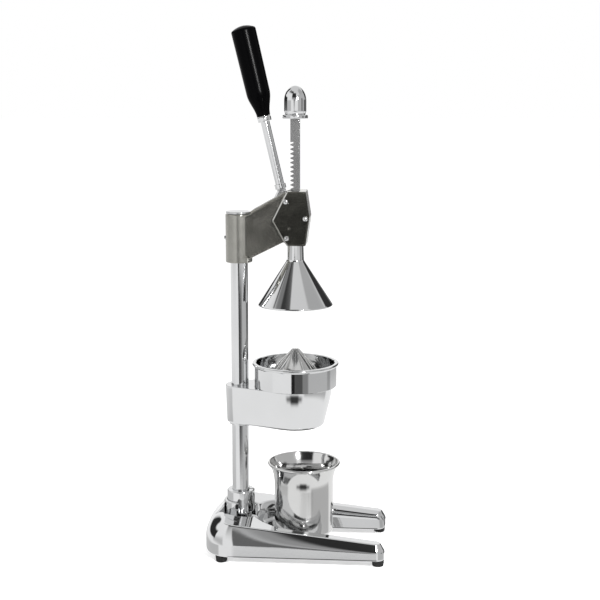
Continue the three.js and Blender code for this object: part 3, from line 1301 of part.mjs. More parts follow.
function gripFerrule() {
  return roundedSleeve(ROD_RADIUS + GAP, FERRULE_RADIUS, FERRULE_HEIGHT, COLUMN_CHAMFER, SMALL_ROUND)
    .translate(0, 0, GRIP_RISE - GAP - FERRULE_HEIGHT);
}

// Handle with a slim foot, a full shoulder and a slightly domed end
function leverGrip() {
  const bore = ROD_RADIUS + GAP;
  const shoulder = GRIP_LENGTH * GRIP_SHOULDER_SHARE;
  const boreTop = GRIP_LENGTH * GRIP_BORE_SHARE;
  const edgeHeight = GRIP_LENGTH - GRIP_CROWN - GRIP_EDGE;
  const flare = [];
  for (let step = 1; step <= GRIP_STEPS; step++) {
    const share = step / GRIP_STEPS;
    const swell = (1 - Math.cos(Math.PI * share)) * HALF;
    flare.push([GRIP_FOOT_RADIUS + (GRIP_SHOULDER_RADIUS - GRIP_FOOT_RADIUS) * swell, shoulder * share]);
  }
  return turned(
    [
      [0, boreTop],
      [bore, boreTop],
      [bore, 0],
      [GRIP_FOOT_RADIUS, 0],
      ...flare,
      [GRIP_TOP_RADIUS, edgeHeight],
      ...arcPoints(GRIP_TOP_RADIUS - GRIP_EDGE, edgeHeight, GRIP_EDGE, 0, QUARTER_TURN, FILLET_STEPS).slice(1),
      [(GRIP_TOP_RADIUS - GRIP_EDGE) * HALF, GRIP_LENGTH - GRIP_CROWN * HALF * HALF],
      [0, GRIP_LENGTH],
    ],
    MIDDLE_ROUND
  ).translate(0, 0, GRIP_RISE);
}

function addLever(group) {
  const lever = new THREE.Group();
  lever.position.set(GEAR_X, 0, MESH_HEIGHT);
  lever.add(named("drive_gear", driveGear(), STEEL));
  lever.add(named("gear_shaft", gearShaft(), STEEL));
  lever.add(named("lever_hub", leverHub(), CHROME));
  lever.add(named("hub_nut", hubNut(), CHROME));
  const rodLine = new THREE.Group();
  rodLine.position.set(LEVER_LEAD, LEVER_SIDE, 0);
  rodLine.rotation.y = -radians(LEVER_TILT);
  rodLine.add(named("lever_collar", leverCollar(), CHROME));
  rodLine.add(named("lever_rod", leverRod(), CHROME));
  rodLine.add(named("grip_ferrule", gripFerrule(), CHROME));
  rodLine.add(named("lever_grip", leverGrip(), BLACK_GLOSS));
  lever.add(rodLine);
  group.add(lever);
  group.add(placed(named("shaft_bush", shaftBush(), BRONZE), GEAR_X, 0, MESH_HEIGHT));
}

const press = new THREE.Group();
addBase(press);
addColumn(press);
addBowl(press);
press.add(placed(named("juice_cup", juiceCup(), CHROME), CUP_X, 0, 0));
addPress(press);
addHead(press);
addLever(press);

export default press;
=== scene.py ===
"""Lever citrus juice press: finished pieces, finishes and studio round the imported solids.

Sizes are in millimetres, in the frame of the solids: +Z up, +X towards the open end of the base and
the lever on the far side, +Y. Meshes are made in metres with their place in the mesh.
"""

import logging
import math
from dataclasses import dataclass, field
from enum import Enum
from typing import Callable, Iterable, Sequence

import bmesh
import bpy
from mathutils import Matrix, Vector

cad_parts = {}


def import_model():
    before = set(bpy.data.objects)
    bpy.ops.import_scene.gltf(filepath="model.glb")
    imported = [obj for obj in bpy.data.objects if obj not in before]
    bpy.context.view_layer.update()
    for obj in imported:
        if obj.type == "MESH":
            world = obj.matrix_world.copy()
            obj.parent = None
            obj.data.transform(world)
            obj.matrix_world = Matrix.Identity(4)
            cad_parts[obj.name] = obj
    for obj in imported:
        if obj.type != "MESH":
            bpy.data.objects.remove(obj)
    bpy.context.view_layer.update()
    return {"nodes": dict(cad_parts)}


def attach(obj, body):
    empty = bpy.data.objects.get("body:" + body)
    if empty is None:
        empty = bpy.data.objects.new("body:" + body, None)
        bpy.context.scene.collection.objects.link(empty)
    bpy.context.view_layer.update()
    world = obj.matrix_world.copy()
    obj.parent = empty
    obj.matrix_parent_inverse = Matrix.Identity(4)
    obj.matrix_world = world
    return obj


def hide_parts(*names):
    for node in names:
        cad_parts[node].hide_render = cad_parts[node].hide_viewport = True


LOG = logging.getLogger("press")

MM = 0.001
QUARTER = math.pi / 2
TURN = math.pi * 2
SMOOTH_ANGLE = math.radians(32)
FLAT_WEIGHT = 80
DOUBLES = 0.0005

# Places, in millimetres, that several sub-assemblies share.
COLUMN_X = -66.5
PRESS_X = -1.5
CUP_X = 8.5
GEAR_X = -27.58
MESH_HEIGHT = 385.0

# The gear and the rack: tooth size, tooth form and width.
MODULE = 1.6
PRESSURE = math.radians(20)
TIP_SHARE = 0.95
ROOT_SHARE = 1.25
BACKLASH = 0.35
GEAR_WIDTH = 8.0

# Room between pieces that touch in the real press, and the bores for column, shaft and studs.
GAP = 0.3
COLUMN_BORE = 10.3
SHAFT_BORE = 5.3
STUD_BORE = 4.3

Pair = tuple[float, float]
Triple = tuple[float, float, float]


class Body(str, Enum):
    """The rigid bodies that pieces ride on."""

    FRAME = "frame"
    LEVER = "lever"
    PRESS = "press"
    CUP = "cup"


class Axis(str, Enum):
    """The axis that a turned or extruded shape is laid along."""

    X = "X"
    Y = "Y"
    Z = "Z"


@dataclass(frozen=True)
class Finish:
    """A surface: its colour, gloss, mottling and fine relief."""

    name: str
    slot: str
    color: Triple
    shade: Triple
    metallic: float
    roughness: float
    roughness_swing: float = 0.03
    grain: float = 900.0
    grain_detail: float = 3.0
    stretch: Triple = (1.0, 1.0, 1.0)
    relief: float = 0.02
    patch: float = 14.0
    patch_detail: float = 5.0
    patch_blend: Pair = (0.3, 0.7)
    coat: float = 0.0
    coat_roughness: float = 0.06
    specular: float = 0.5

    def material(self) -> bpy.types.Material:
        """Return this finish's material, made at its first use."""
        found = bpy.data.materials.get(self.name)
        return found or self._build()

    def _build(self) -> bpy.types.Material:
        """Make the node tree: patches mix the two colours and the gloss, grain gives the relief.

        Returns:
            The new material.
        """
        made = bpy.data.materials.new(self.name)
        made.use_nodes = True
        nodes, links = made.node_tree.nodes, made.node_tree.links
        shader = nodes["Principled BSDF"]
        shader.inputs["Metallic"].default_value = self.metallic
        shader.inputs["Coat Weight"].default_value = self.coat
        shader.inputs["Coat Roughness"].default_value = self.coat_roughness
        shader.inputs["Specular IOR Level"].default_value = self.specular
        place = nodes.new("ShaderNodeTexCoord")
        stretch = nodes.new("ShaderNodeMapping")
        stretch.inputs["Scale"].default_value = self.stretch
        links.new(place.outputs["Object"], stretch.inputs["Vector"])
        patches = nodes.new("ShaderNodeTexNoise")
        patches.inputs["Scale"].default_value = self.patch
        patches.inputs["Detail"].default_value = self.patch_detail
        links.new(place.outputs["Object"], patches.inputs["Vector"])
        grain = nodes.new("ShaderNodeTexNoise")
        grain.inputs["Scale"].default_value = self.grain
        grain.inputs["Detail"].default_value = self.grain_detail
        links.new(stretch.outputs["Vector"], grain.inputs["Vector"])
        ramp = nodes.new("ShaderNodeValToRGB")
        for stop, place, color in zip(ramp.color_ramp.elements, self.patch_blend, (self.shade, self.color)):
            stop.position = place
            stop.color = (*color, 1)
        links.new(patches.outputs["Fac"], ramp.inputs["Fac"])
        links.new(ramp.outputs["Color"], shader.inputs["Base Color"])
        gloss = nodes.new("ShaderNodeMapRange")
        gloss.inputs["To Min"].default_value = max(self.roughness - self.roughness_swing, 0.0)
        gloss.inputs["To Max"].default_value = self.roughness + self.roughness_swing
        links.new(patches.outputs["Fac"], gloss.inputs["Value"])
        links.new(gloss.outputs["Result"], shader.inputs["Roughness"])
        relief = nodes.new("ShaderNodeBump")
        relief.inputs["Strength"].default_value = self.relief
        relief.inputs["Distance"].default_value = MM
        links.new(grain.outputs["Fac"], relief.inputs["Height"])
        links.new(relief.outputs["Normal"], shader.inputs["Normal"])
        return made


POLISHED = Finish(
    "polished_plate", "polished_metal", (0.735, 0.74, 0.745), (0.69, 0.695, 0.7), metallic=1.0,
    roughness=0.05, roughness_swing=0.02, grain=260, relief=0.008)
BRIGHT_BAR = Finish(
    "bright_drawn_bar", "polished_metal", (0.73, 0.735, 0.74), (0.66, 0.665, 0.675), metallic=1.0,
    roughness=0.08, roughness_swing=0.03, grain=60, stretch=(14, 14, 0.6), relief=0.003)
RACK_STEEL = Finish(
    "milled_rack_steel", "polished_metal", (0.5, 0.5, 0.5), (0.4, 0.4, 0.4), metallic=1.0,
    roughness=0.22, roughness_swing=0.05, grain=80, stretch=(1, 1, 12), relief=0.05)
TURNED = Finish(
    "turned_steel", "plain_steel", (0.66, 0.665, 0.67), (0.58, 0.585, 0.59), metallic=1.0,
    roughness=0.2, roughness_swing=0.05, grain=120, stretch=(1, 1, 10), relief=0.05)
SPUN_STEEL = Finish(
    "spun_cup_steel", "polished_metal", (0.72, 0.72, 0.715), (0.65, 0.65, 0.645), metallic=1.0,
    roughness=0.1, roughness_swing=0.03, grain=40, stretch=(1, 1, 16), relief=0.006)
ARM_ENAMEL = Finish(
    "grey_arm_enamel", "grey_enamel", (0.41, 0.402, 0.365), (0.34, 0.333, 0.3), metallic=0.95,
    roughness=0.085, roughness_swing=0.025, grain=950, relief=0.05, patch=60, coat=0.01)
# Painted shade: the arm's enamel again, made darker and rougher for the clamp's round face.
SHADED_CLAMP_ENAMEL = Finish(
    "shaded_satin_clamp_enamel", "grey_enamel", (0.37, 0.365, 0.338), (0.32, 0.316, 0.29), metallic=0.92,
    roughness=0.23, roughness_swing=0.03, grain=950, relief=0.08, patch=60, coat=0.01)
PLATE_ENAMEL = Finish(
    "dark_plate_enamel", "dark_enamel", (0.12, 0.118, 0.103), (0.075, 0.074, 0.065), metallic=0.95,
    roughness=0.1, roughness_swing=0.03, grain=950, relief=0.06, patch=60, coat=0.01)
# Painted highlight: bright metal laid on the cover plates' chamfers on the column's side.
PAINTED_HIGHLIGHT_EDGE = Finish(
    "painted_highlight_plate_edge", "polished_metal", (0.6, 0.6, 0.58), (0.48, 0.48, 0.46), metallic=1.0,
    roughness=0.2, roughness_swing=0.05, grain=400, relief=0.05)
GRIP_GLOSS = Finish(
    "gloss_black_grip", "black_gloss", (0.0012, 0.0012, 0.0014), (0.0008, 0.0008, 0.001), metallic=0.0,
    roughness=0.22, roughness_swing=0.02, grain=300, relief=0.004, patch=30, specular=0.03)
FOOT_RUBBER = Finish(
    "moulded_rubber", "black_rubber", (0.016, 0.016, 0.016), (0.01, 0.01, 0.01), metallic=0.0,
    roughness=0.72, roughness_swing=0.08, grain=1400, relief=0.25, specular=0.3)
BUSH_BRONZE = Finish(
    "turned_bronze", "bronze", (0.55, 0.38, 0.18), (0.45, 0.3, 0.14), metallic=1.0,
    roughness=0.3, roughness_swing=0.06, grain=120, stretch=(1, 10, 1), relief=0.05)


def arc(x: float, y: float, radius: float, start: float, end: float, steps: int) -> list[Pair]:
    """Return points of an arc round (x, y), both ends included.

    Args:
        x: Centre across.
        y: Centre up.
        radius: Radius of the arc.
        start: First angle, in radians.
        end: Last angle, in radians.
        steps: Number of chords.

    Returns:
        The points in order.
    """
    spread = [start + (end - start) * step / steps for step in range(steps + 1)]
    return [(x + radius * math.cos(a), y + radius * math.sin(a)) for a in spread]


def hexagon(radius: float) -> list[Pair]:
    """Return the corners of a hexagon at a radius."""
    return arc(0, 0, radius, 0, TURN * 5 / 6, 5)


def between(start: Pair, end: Pair, steps: int) -> list[Pair]:
    """Divide a straight line into equal steps.

    Args:
        start: Its first end.
        end: Its last end.
        steps: Number of steps.

    Returns:
        The points between both ends, which are left out.
    """
    (x, y), (far_x, far_y) = start, end
    return [(x + (far_x - x) * step / steps, y + (far_y - y) * step / steps) for step in range(1, steps)]


def softened(points: Sequence[Sequence[float]], closed: bool = False, steps: int = 5) -> list[Pair]:
    """Round the corners of a polyline whose points carry a rounding radius as their third value.

    Args:
        points: Points (across, up) or (across, up, rounding).
        closed: Whether the last point joins the first.
        steps: Chords in each rounding.

    Returns:
        The polyline with arcs for its rounded corners.
    """
    count = len(points)
    result: list[Pair] = []
    for place, point in enumerate(points):
        here = Vector(point[:2])
        radius = point[2] if len(point) > 2 else 0.0
        if not radius or (not closed and place in (0, count - 1)):
            result.append((here.x, here.y))
            continue
        back = (Vector(points[place - 1][:2]) - here).normalized()
        ahead = (Vector(points[(place + 1) % count][:2]) - here).normalized()
        half = back.angle(ahead) / 2
        reach = radius / math.tan(half)
        centre = here + (back + ahead).normalized() * (radius / math.sin(half))
        first, last = here + back * reach - centre, here + ahead * reach - centre
        sweep = first.angle_signed(last)
        for step in range(steps + 1):
            turned = first.copy()
            turned.rotate(Matrix.Rotation(-sweep * step / steps, 2))
            result.append(tuple(centre + turned))
    return result


def finish_mesh(name: str, shape: bmesh.types.BMesh, weld: bool = True) -> bpy.types.Object:
    """Turn a bmesh in millimetres into a smooth-shaded object in metres.

    Args:
        name: The object's name.
        shape: The shape, freed here.
        weld: Whether doubles are merged and normals turned outwards.

    Returns:
        The object, linked to the scene.
    """
    if weld:
        bmesh.ops.remove_doubles(shape, verts=shape.verts, dist=DOUBLES)
        bmesh.ops.recalc_face_normals(shape, faces=shape.faces)
    for face in shape.faces:
        face.smooth = True
    mesh = bpy.data.meshes.new(name)
    shape.to_mesh(mesh)
    shape.free()
    mesh.transform(Matrix.Scale(MM, 4))
    mesh.set_sharp_from_angle(angle=SMOOTH_ANGLE)
    made = bpy.data.objects.new(name, mesh)
    bpy.context.scene.collection.objects.link(made)
    return made


def laid(mesh_object: bpy.types.Object, axis: Axis = Axis.Z, place: Triple = (0, 0, 0),
         tilt: float = 0.0) -> bpy.types.Object:
    """Lay a shape made along Z along another axis and move it.

    Args:
        mesh_object: The object whose mesh is moved.
        axis: Where the shape's Z goes: X, Y or Z.
        place: The move, in millimetres.
        tilt: A turn about Y before the move, in radians.

    Returns:
        The same object.
    """
    turn = {
        Axis.X: Matrix.Rotation(QUARTER, 4, "Y"),
        Axis.Y: Matrix.Rotation(-QUARTER, 4, "X"),
        Axis.Z: Matrix.Identity(4),
    }[axis]
    move = Matrix.Translation(Vector(place) * MM)
    mesh_object.data.transform(move @ Matrix.Rotation(tilt, 4, "Y") @ turn)
    return mesh_object


def turned(name: str, profile: Sequence[Pair], segments: int = 96, ring: bool = False) -> bpy.types.Object:
    """Turn a profile (radius, height) about Z.

    Args:
        name: The object's name.
        profile: From axis to axis, or a closed loop for a ring.
        segments: Facets round the axis.
        ring: Whether the profile closes on itself.

    Returns:
        The turned solid.
    """
    shape = bmesh.new()
    rings = []
    for radius, height in profile:
        count = segments if radius else 1
        spread = [TURN * place / segments for place in range(count)]
        rings.append([shape.verts.new((radius * math.cos(a), radius * math.sin(a), height)) for a in spread])
    pairs = list(zip(rings, rings[1:]))
    if ring:
        pairs.append((rings[-1], rings[0]))
    for low, high in pairs:
        for place in range(segments):
            after = (place + 1) % segments
            corners = [low[place % len(low)], low[after % len(low)], high[after % len(high)],
                       high[place % len(high)]]
            unique = list(dict.fromkeys(corners))
            if len(unique) > 2:
                shape.faces.new(unique)
    return finish_mesh(name, shape)


def lofted(name: str, levels: Sequence[Sequence[Triple]], weld: bool = True) -> bpy.types.Object:
    """Join closed outlines of equal length into a capped solid.

    Args:
        name: The object's name.
        levels: Outlines from the first cap to the last.
        weld: Whether doubles are merged.

    Returns:
        The lofted solid.
    """
    shape = bmesh.new()
    loops = [[shape.verts.new(point) for point in level] for level in levels]
    size = len(loops[0])
    for low, high in zip(loops, loops[1:]):
        for place in range(size):
            after = (place + 1) % size
            shape.faces.new((low[place], low[after], high[after], high[place]))
    caps = [shape.faces.new(list(reversed(loops[0]))), shape.faces.new(loops[-1])]
    for cap in caps:
        cap.normal_update()
    bmesh.ops.triangulate(shape, faces=caps)
    return finish_mesh(name, shape, weld)


def drawn_in(points: Sequence[Pair], distance: float) -> list[Pair]:
    """Move a closed outline inwards by a distance along its corners' bisectors.

    Args:
        points: The outline, counter-clockwise.
        distance: How far inwards.

    Returns:
        The smaller outline, point for point.
    """
    sharpest = 0.3
    result = []
    count = len(points)
    for place, (x, y) in enumerate(points):
        back = Vector((x, y)) - Vector(points[place - 1])
        ahead = Vector(points[(place + 1) % count]) - Vector((x, y))
        first = Vector((-back.y, back.x)).normalized()
        second = Vector((-ahead.y, ahead.x)).normalized()
        middle = (first + second).normalized()
        reach = distance / max(middle.dot(first), sharpest)
        result.append((x + middle.x * reach, y + middle.y * reach))
    return result


def slab(name: str, outline: Sequence[Pair], low: float, high: float, rounding: float = 0.5, steps: int = 3,
         axis: Axis = Axis.Z) -> bpy.types.Object:
    """Extrude an outline with rounded edges.

    Args:
        name: The object's name.
        outline: Closed counter-clockwise outline, in x and y, or in x and z where the axis is Y.
        low: Where the extrusion starts.
        high: Where it ends.
        rounding: Radius of its edges.
        steps: Chords in the rounding, 1 for a chamfer.
        axis: Z for a plan outline, Y for a side outline.

    Returns:
        The slab.
    """
    rims = [(rounding * (1 - math.sin(a)), rounding * (1 - math.cos(a)))
            for a in (QUARTER * step / steps for step in range(steps + 1))]
    insets = [(inset, low + up) for inset, up in rims] + [(inset, high - up) for inset, up in reversed(rims)]
    levels = []
    for inset, height in insets:
        flat = drawn_in(outline, inset)
        if axis is Axis.Y:
            levels.append([(x, height, z) for x, z in flat])
        else:
            levels.append([(x, y, height) for x, y in flat])
    return lofted(name, levels)


def block(name: str, low: Triple, high: Triple) -> bpy.types.Object:
    """Return a plain box between two corners, used as a cutter."""
    outline = [(low[0], low[1]), (high[0], low[1]), (high[0], high[1]), (low[0], high[1])]
    return lofted(name, [[(x, y, low[2]) for x, y in outline], [(x, y, high[2]) for x, y in outline]])


def rod(name: str, radius: float, length: float, edge: float = 0.5, segments: int = 64) -> bpy.types.Object:
    """Return a bar along Z from zero, with rounded ends."""
    points = [(0, 0), (radius, 0, edge), (radius, length, edge), (0, length)]
    return turned(name, softened(points, steps=3), segments)


def drill(radius: float, length: float, segments: int = 64) -> bpy.types.Object:
    """Return a cutter for a bore, along Z from zero."""
    return rod("drill", radius, length, 0.1, segments)


def sleeve(name: str, inner: float, outer: float, height: float, edge: float = 0.8) -> bpy.types.Object:
    """Return a ring along Z from zero, with rounded outer edges."""
    points = [(inner, 0), (outer, 0, edge), (outer, height, edge), (inner, height)]
    return turned(name, softened(points, closed=True), ring=True)


def baked(target: bpy.types.Object) -> bpy.types.Object:
    """Apply all modifiers of an object by evaluating it into a new mesh.

    Args:
        target: The object with live modifiers.

    Returns:
        The same object with a plain mesh.
    """
    graph = bpy.context.evaluated_depsgraph_get()
    graph.update()
    mesh = bpy.data.meshes.new_from_object(target.evaluated_get(graph))
    target.modifiers.clear()
    target.data = mesh
    return target


def combined(target: bpy.types.Object, others: Iterable[bpy.types.Object], how: str) -> bpy.types.Object:
    """Cut or weld solids with the manifold solver.

    Args:
        target: The solid that stays.
        others: The solids used up.
        how: DIFFERENCE or UNION.

    Returns:
        The target, smooth-shaded.
    """
    tools = list(others)
    for tool in tools:
        change = target.modifiers.new(how, "BOOLEAN")
        change.operation = how
        change.solver = "MANIFOLD"
        change.object = tool
    baked(target)
    for tool in tools:
        bpy.data.objects.remove(tool)
    for face in target.data.polygons:
        face.use_smooth = True
    target.data.set_sharp_from_angle(angle=SMOOTH_ANGLE)
    return target


def carve(target: bpy.types.Object, *tools: bpy.types.Object) -> bpy.types.Object:
    """Cut tools out of a solid."""
    return combined(target, tools, "DIFFERENCE")


def weld(target: bpy.types.Object, *others: bpy.types.Object) -> bpy.types.Object:
    """Join solids into one."""
    return combined(target, others, "UNION")


def joined(target: bpy.types.Object, *others: bpy.types.Object) -> bpy.types.Object:
    """Put the meshes of several objects into one object, each shell left whole.

    Args:
        target: The object that stays.
        *others: The objects used up.

    Returns:
        The target.
    """
    shape = bmesh.new()
    for part in (target, *others):
        shape.from_mesh(part.data)
    shape.to_mesh(target.data)
    shape.free()
    for part in others:
        bpy.data.objects.remove(part)
    target.data.set_sharp_from_angle(angle=SMOOTH_ANGLE)
    return target


def socket_screw(name: str, radius: float, length: float) -> bpy.types.Object:
    """Return a socket set screw along Z whose hexagon socket opens at its start."""
    socket = slab("socket", hexagon(radius * 0.54), -1, length / 2, 0.01, 1)
    return carve(rod(name, radius, length, 0.3, 32), socket)


def even_shading(target: bpy.types.Object) -> bpy.types.Object:
    """Weight normals by face area, so that flat faces stay flat beside small roundings.

    Args:
        target: The piece.

    Returns:
        The same piece.
    """
    change = target.modifiers.new("even", "WEIGHTED_NORMAL")
    change.keep_sharp = True
    change.weight = FLAT_WEIGHT
    return baked(target)


def row_tree() -> bpy.types.NodeTree:
    """Make the Geometry Nodes tree that repeats a piece in a row or round an axis.

    Its inputs are Count, Step (a move for each copy), Turn (a turn for each copy) and Finish.

    Returns:
        The node tree.
    """
    found = bpy.data.node_groups.get("repeat_in_row")
    if found:
        return found
    tree = bpy.data.node_groups.new("repeat_in_row", "GeometryNodeTree")
    tree.interface.new_socket("Piece", in_out="INPUT", socket_type="NodeSocketGeometry")
    tree.interface.new_socket("Count", in_out="INPUT", socket_type="NodeSocketInt")
    tree.interface.new_socket("Step", in_out="INPUT", socket_type="NodeSocketVector")
    tree.interface.new_socket("Turn", in_out="INPUT", socket_type="NodeSocketVector")
    tree.interface.new_socket("Finish", in_out="INPUT", socket_type="NodeSocketMaterial")
    tree.interface.new_socket("Row", in_out="OUTPUT", socket_type="NodeSocketGeometry")
    nodes, links = tree.nodes, tree.links
    given = nodes.new("NodeGroupInput")
    result = nodes.new("NodeGroupOutput")
    line = nodes.new("GeometryNodeMeshLine")
    index = nodes.new("GeometryNodeInputIndex")
    turn = nodes.new("ShaderNodeVectorMath")
    turn.operation = "SCALE"
    copies = nodes.new("GeometryNodeInstanceOnPoints")
    solid = nodes.new("GeometryNodeRealizeInstances")
    paint = nodes.new("GeometryNodeSetMaterial")
    links.new(given.outputs["Count"], line.inputs["Count"])
    links.new(given.outputs["Step"], line.inputs["Offset"])
    links.new(given.outputs["Turn"], turn.inputs[0])
    links.new(index.outputs["Index"], turn.inputs["Scale"])
    links.new(line.outputs["Mesh"], copies.inputs["Points"])
    links.new(given.outputs["Piece"], copies.inputs["Instance"])
    links.new(turn.outputs["Vector"], copies.inputs["Rotation"])
    links.new(copies.outputs["Instances"], solid.inputs["Geometry"])
    links.new(solid.outputs["Geometry"], paint.inputs["Geometry"])
    links.new(given.outputs["Finish"], paint.inputs["Material"])
    links.new(paint.outputs["Geometry"], result.inputs["Row"])
    return tree


def repeated(piece: bpy.types.Object, count: int, finish: Finish, step: Triple = (0, 0, 0),
             turn: Triple = (0, 0, 0)) -> bpy.types.Object:
    """Repeat a piece with the row tree and make the result a plain mesh.

    Args:
        piece: The first copy.
        count: How many copies.
        finish: Their finish.
        step: Move of each copy, in millimetres.
        turn: Turn of each copy, in radians about X, Y and Z.

    Returns:
        The same object with all copies in its mesh.
    """
    tree = row_tree()
    change = piece.modifiers.new("row", "NODES")
    change.node_group = tree
    values = {"Count": count, "Step": Vector(step) * MM, "Turn": Vector(turn), "Finish": finish.material()}
    for socket in tree.interface.items_tree:
        if socket.in_out == "INPUT" and socket.name in values:
            change[socket.identifier] = values[socket.name]
    return baked(piece)


def dressed(piece: bpy.types.Object, finish: Finish, body: Body, *nodes: str) -> bpy.types.Object:
    """Give a finished piece its material and body, and hide the solids that it stands for.

    Args:
        piece: The finished mesh object.
        finish: Its finish.
        body: The body that it rides on.
        *nodes: Names of the solids that it replaces.

    Returns:
        The piece.
    """
    even_shading(piece)
    piece.data.materials.clear()
    piece.data.materials.append(finish.material())
    for face in piece.data.polygons:
        face.material_index = 0
    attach(piece, body.value)
    if nodes:
        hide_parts(*nodes)
    LOG.info("%s: %d faces on %s", piece.name, len(piece.data.polygons), body.value)
    return piece


def painted_highlight_chamfers(plate: bpy.types.Object, lean: Pair = (0.55, 0.85),
                  towards: float = -0.05) -> bpy.types.Object:
    """Paint a highlight on a plate's chamfers towards the column, as bright metal where the light catches
    them.

    Args:
        plate: The dressed plate.
        lean: Least and most sideways share of a chamfer's normal.
        towards: The share along X under which a chamfer counts as facing the column.

    Returns:
        The plate.
    """
    plate.data.materials.append(PAINTED_HIGHLIGHT_EDGE.material())
    for face in plate.data.polygons:
        if lean[0] < abs(face.normal.y) < lean[1] and face.normal.x < towards:
            face.material_index = 1
    return plate


def shaded_satin_clamp(arm: bpy.types.Object, axis_x: float, radius: float, slack: float = 0.1) -> bpy.types.Object:
    """Give the round clamp of the arm a rougher copy of the arm's enamel, painted darker as shade on the
    clamp.

    Args:
        arm: The dressed arm.
        axis_x: Where the clamp's axis stands, in millimetres.
        radius: The clamp's radius, in millimetres.
        slack: How far a face's middle may be off the radius, and its normal off the level.

    Returns:
        The arm.
    """
    arm.data.materials.append(SHADED_CLAMP_ENAMEL.material())
    for face in arm.data.polygons:
        out = math.hypot(face.center.x / MM - axis_x, face.center.y / MM)
        if abs(out - radius) < slack and abs(face.normal.z) < slack:
            face.material_index = 1
    return arm


@dataclass
class Base:
    """The polished casting with its dish, boss, shield, fin and cup shelf, and the rubber feet."""

    length: float = 211.0
    width: float = 136.0
    bottom: float = 8.3
    crease_height: float = 22.0
    crease_fall: float = 4.8
    crease_start: float = -15.0
    crease_run: float = 120.0
    ridge_rear: float = 49.5
    ridge_front: float = 26.2
    ridge_inset: float = 5.5
    rear_depth: float = 45.0
    rear_power: float = 3.0
    rear_lean: float = 15.5
    side_bulge: float = 1.5
    bay_bulge: float = 4.0
    rear_bulge: float = 2.25
    crease_lean: float = 0.185
    most_lean: float = 0.8
    steepest: float = 0.62
    ridge_round: float = 1.3
    ridge_start: float = 0.92
    ridge_steps: int = 6
    face_steps: int = 16
    bay_radius: float = 46.0
    lower_edge: tuple[Pair, ...] = ((-0.8, 0), (-0.2, 0.25), (0, 0.8))
    skirt: float = 9.0
    skirt_step: float = 2.0
    skirt_power: float = 1.5
    skirt_shares: Triple = (0.03, 0.5, 0.97)
    leg_corner: float = 11.0
    press_x: float = PRESS_X
    cup_x: float = CUP_X
    column_x: float = COLUMN_X
    dish_floor: float = 29.0
    dish_radii: Pair = (22.0, 31.0)
    boss_radius: float = 13.0
    boss_top: float = 42.7
    bolt_well: Pair = (11.0, 18.0)
    column_seat: float = 25.7
    shield: Triple = (16.8, 19.8, 57.0)
    fin_width: float = 24.0
    fin_shares: tuple[Pair, ...] = ((0.1, 0), (0.24, 0.28), (0.48, 0.52), (0.78, 0.74), (1, 0.92))
    shelf_top: float = 19.5
    shelf_thickness: float = 5.0
    shelf_radius: float = 30.0
    shelf_lap: Pair = (2.0, 3.5)
    pocket_roof: float = 17.0
    pocket_sides: Pair = (45.0, 62.0)
    pocket_ends: Pair = (-61.5, 81.5)
    pockets: int = 4
    pocket_rib: float = 4.0
    foot_radius: float = 7.2
    foot_taper: float = 0.8
    foot_height: float = 8.0
    foot_well: Pair = (4.2, 4.0)
    foot_bore: float = 2.2
    feet_x: Pair = (-82.5, 97.7)
    feet_y: float = 56.5

    def ridge(self, x: float) -> float:
        """Return the height of the ridge plane at x."""
        return self.ridge_rear + (self.ridge_front - self.ridge_rear) * (x / self.length + 0.5)

    def crease(self, x: float) -> float:
        """Return the height of the crease between the upright wall and the leaning face at x."""
        share = min(max((x - self.crease_start) / self.crease_run, 0.0), 1.0)
        return self.crease_height - self.crease_fall * share

    def near_half(self, rear_steps: int = 72, corner_steps: int = 10) -> list[Triple]:
        """Trace the near half of the plan, from the middle of the rear to the middle of the bay.

        Args:
            rear_steps: Chords in the whole rounded rear, an even number.
            corner_steps: Chords in each corner of the leg's end.

        Returns:
            Points (x, y, skirt share), counter-clockwise.
        """
        rear, side, corner = -self.length / 2, self.width / 2, self.leg_corner
        leg_end = self.length / 2 - corner
        power = 2 / self.rear_power
        points: list[Triple] = []
        for step in range(rear_steps // 2, rear_steps + 1):
            angle = QUARTER - math.pi * step / rear_steps
            across = math.copysign(abs(math.sin(angle)) ** power, math.sin(angle))
            along = abs(math.cos(angle)) ** power
            points.append((rear + self.rear_depth * (1 - along), side * across, 0))
        outer = between((rear + self.rear_depth, -side), (leg_end, -side), 24)
        outer += arc(leg_end, corner - side, corner, -QUARTER, 0, corner_steps)
        points += [(*point, 0) for point in outer]
        inner = arc(leg_end, -self.bay_radius - corner, corner, 0, QUARTER, corner_steps)
        for step, point in enumerate(inner[1:], 1):
            share = (1 - math.cos(math.pi * step / corner_steps)) / 2
            points.append((*point, share ** self.skirt_power))
        bay = between((leg_end, -self.bay_radius), (self.press_x, -self.bay_radius), 20)
        bay += arc(self.press_x, 0, self.bay_radius, 3 * QUARTER, math.pi, 32)
        points += [(*point, 1) for point in bay]
        return points

    def plan(self) -> list[tuple[float, float, float, float, float]]:
        """Close the plan with its far half and find its outward direction at every point.

        Returns:
            Points (x, y, outward x, outward y, skirt share), counter-clockwise.
        """
        near = self.near_half()
        points = near + [(x, -y, skirt) for x, y, skirt in reversed(near[1:-1])]
        count = len(points)
        result = []
        for place, (x, y, skirt) in enumerate(points):
            back, ahead = points[place - 1], points[(place + 1) % count]
            along = Vector((ahead[0] - back[0], ahead[1] - back[1])).normalized()
            result.append((x, y, along.y, -along.x, skirt))
        return result

    def level(self, out: float, height: float, skirt: float = 0.0) -> list[Triple]:
        """Return the plan moved outwards at one height, with a share of the skirt's width.

        Args:
            out: Outward move of the whole outline.
            height: Height of the level.
            skirt: Extra outward move inside the opening.

        Returns:
            The level's points.
        """
        return [(x + nx * (out + skirt * share), y + ny * (out + skirt * share), height)
                for x, y, nx, ny, share in self.plan()]

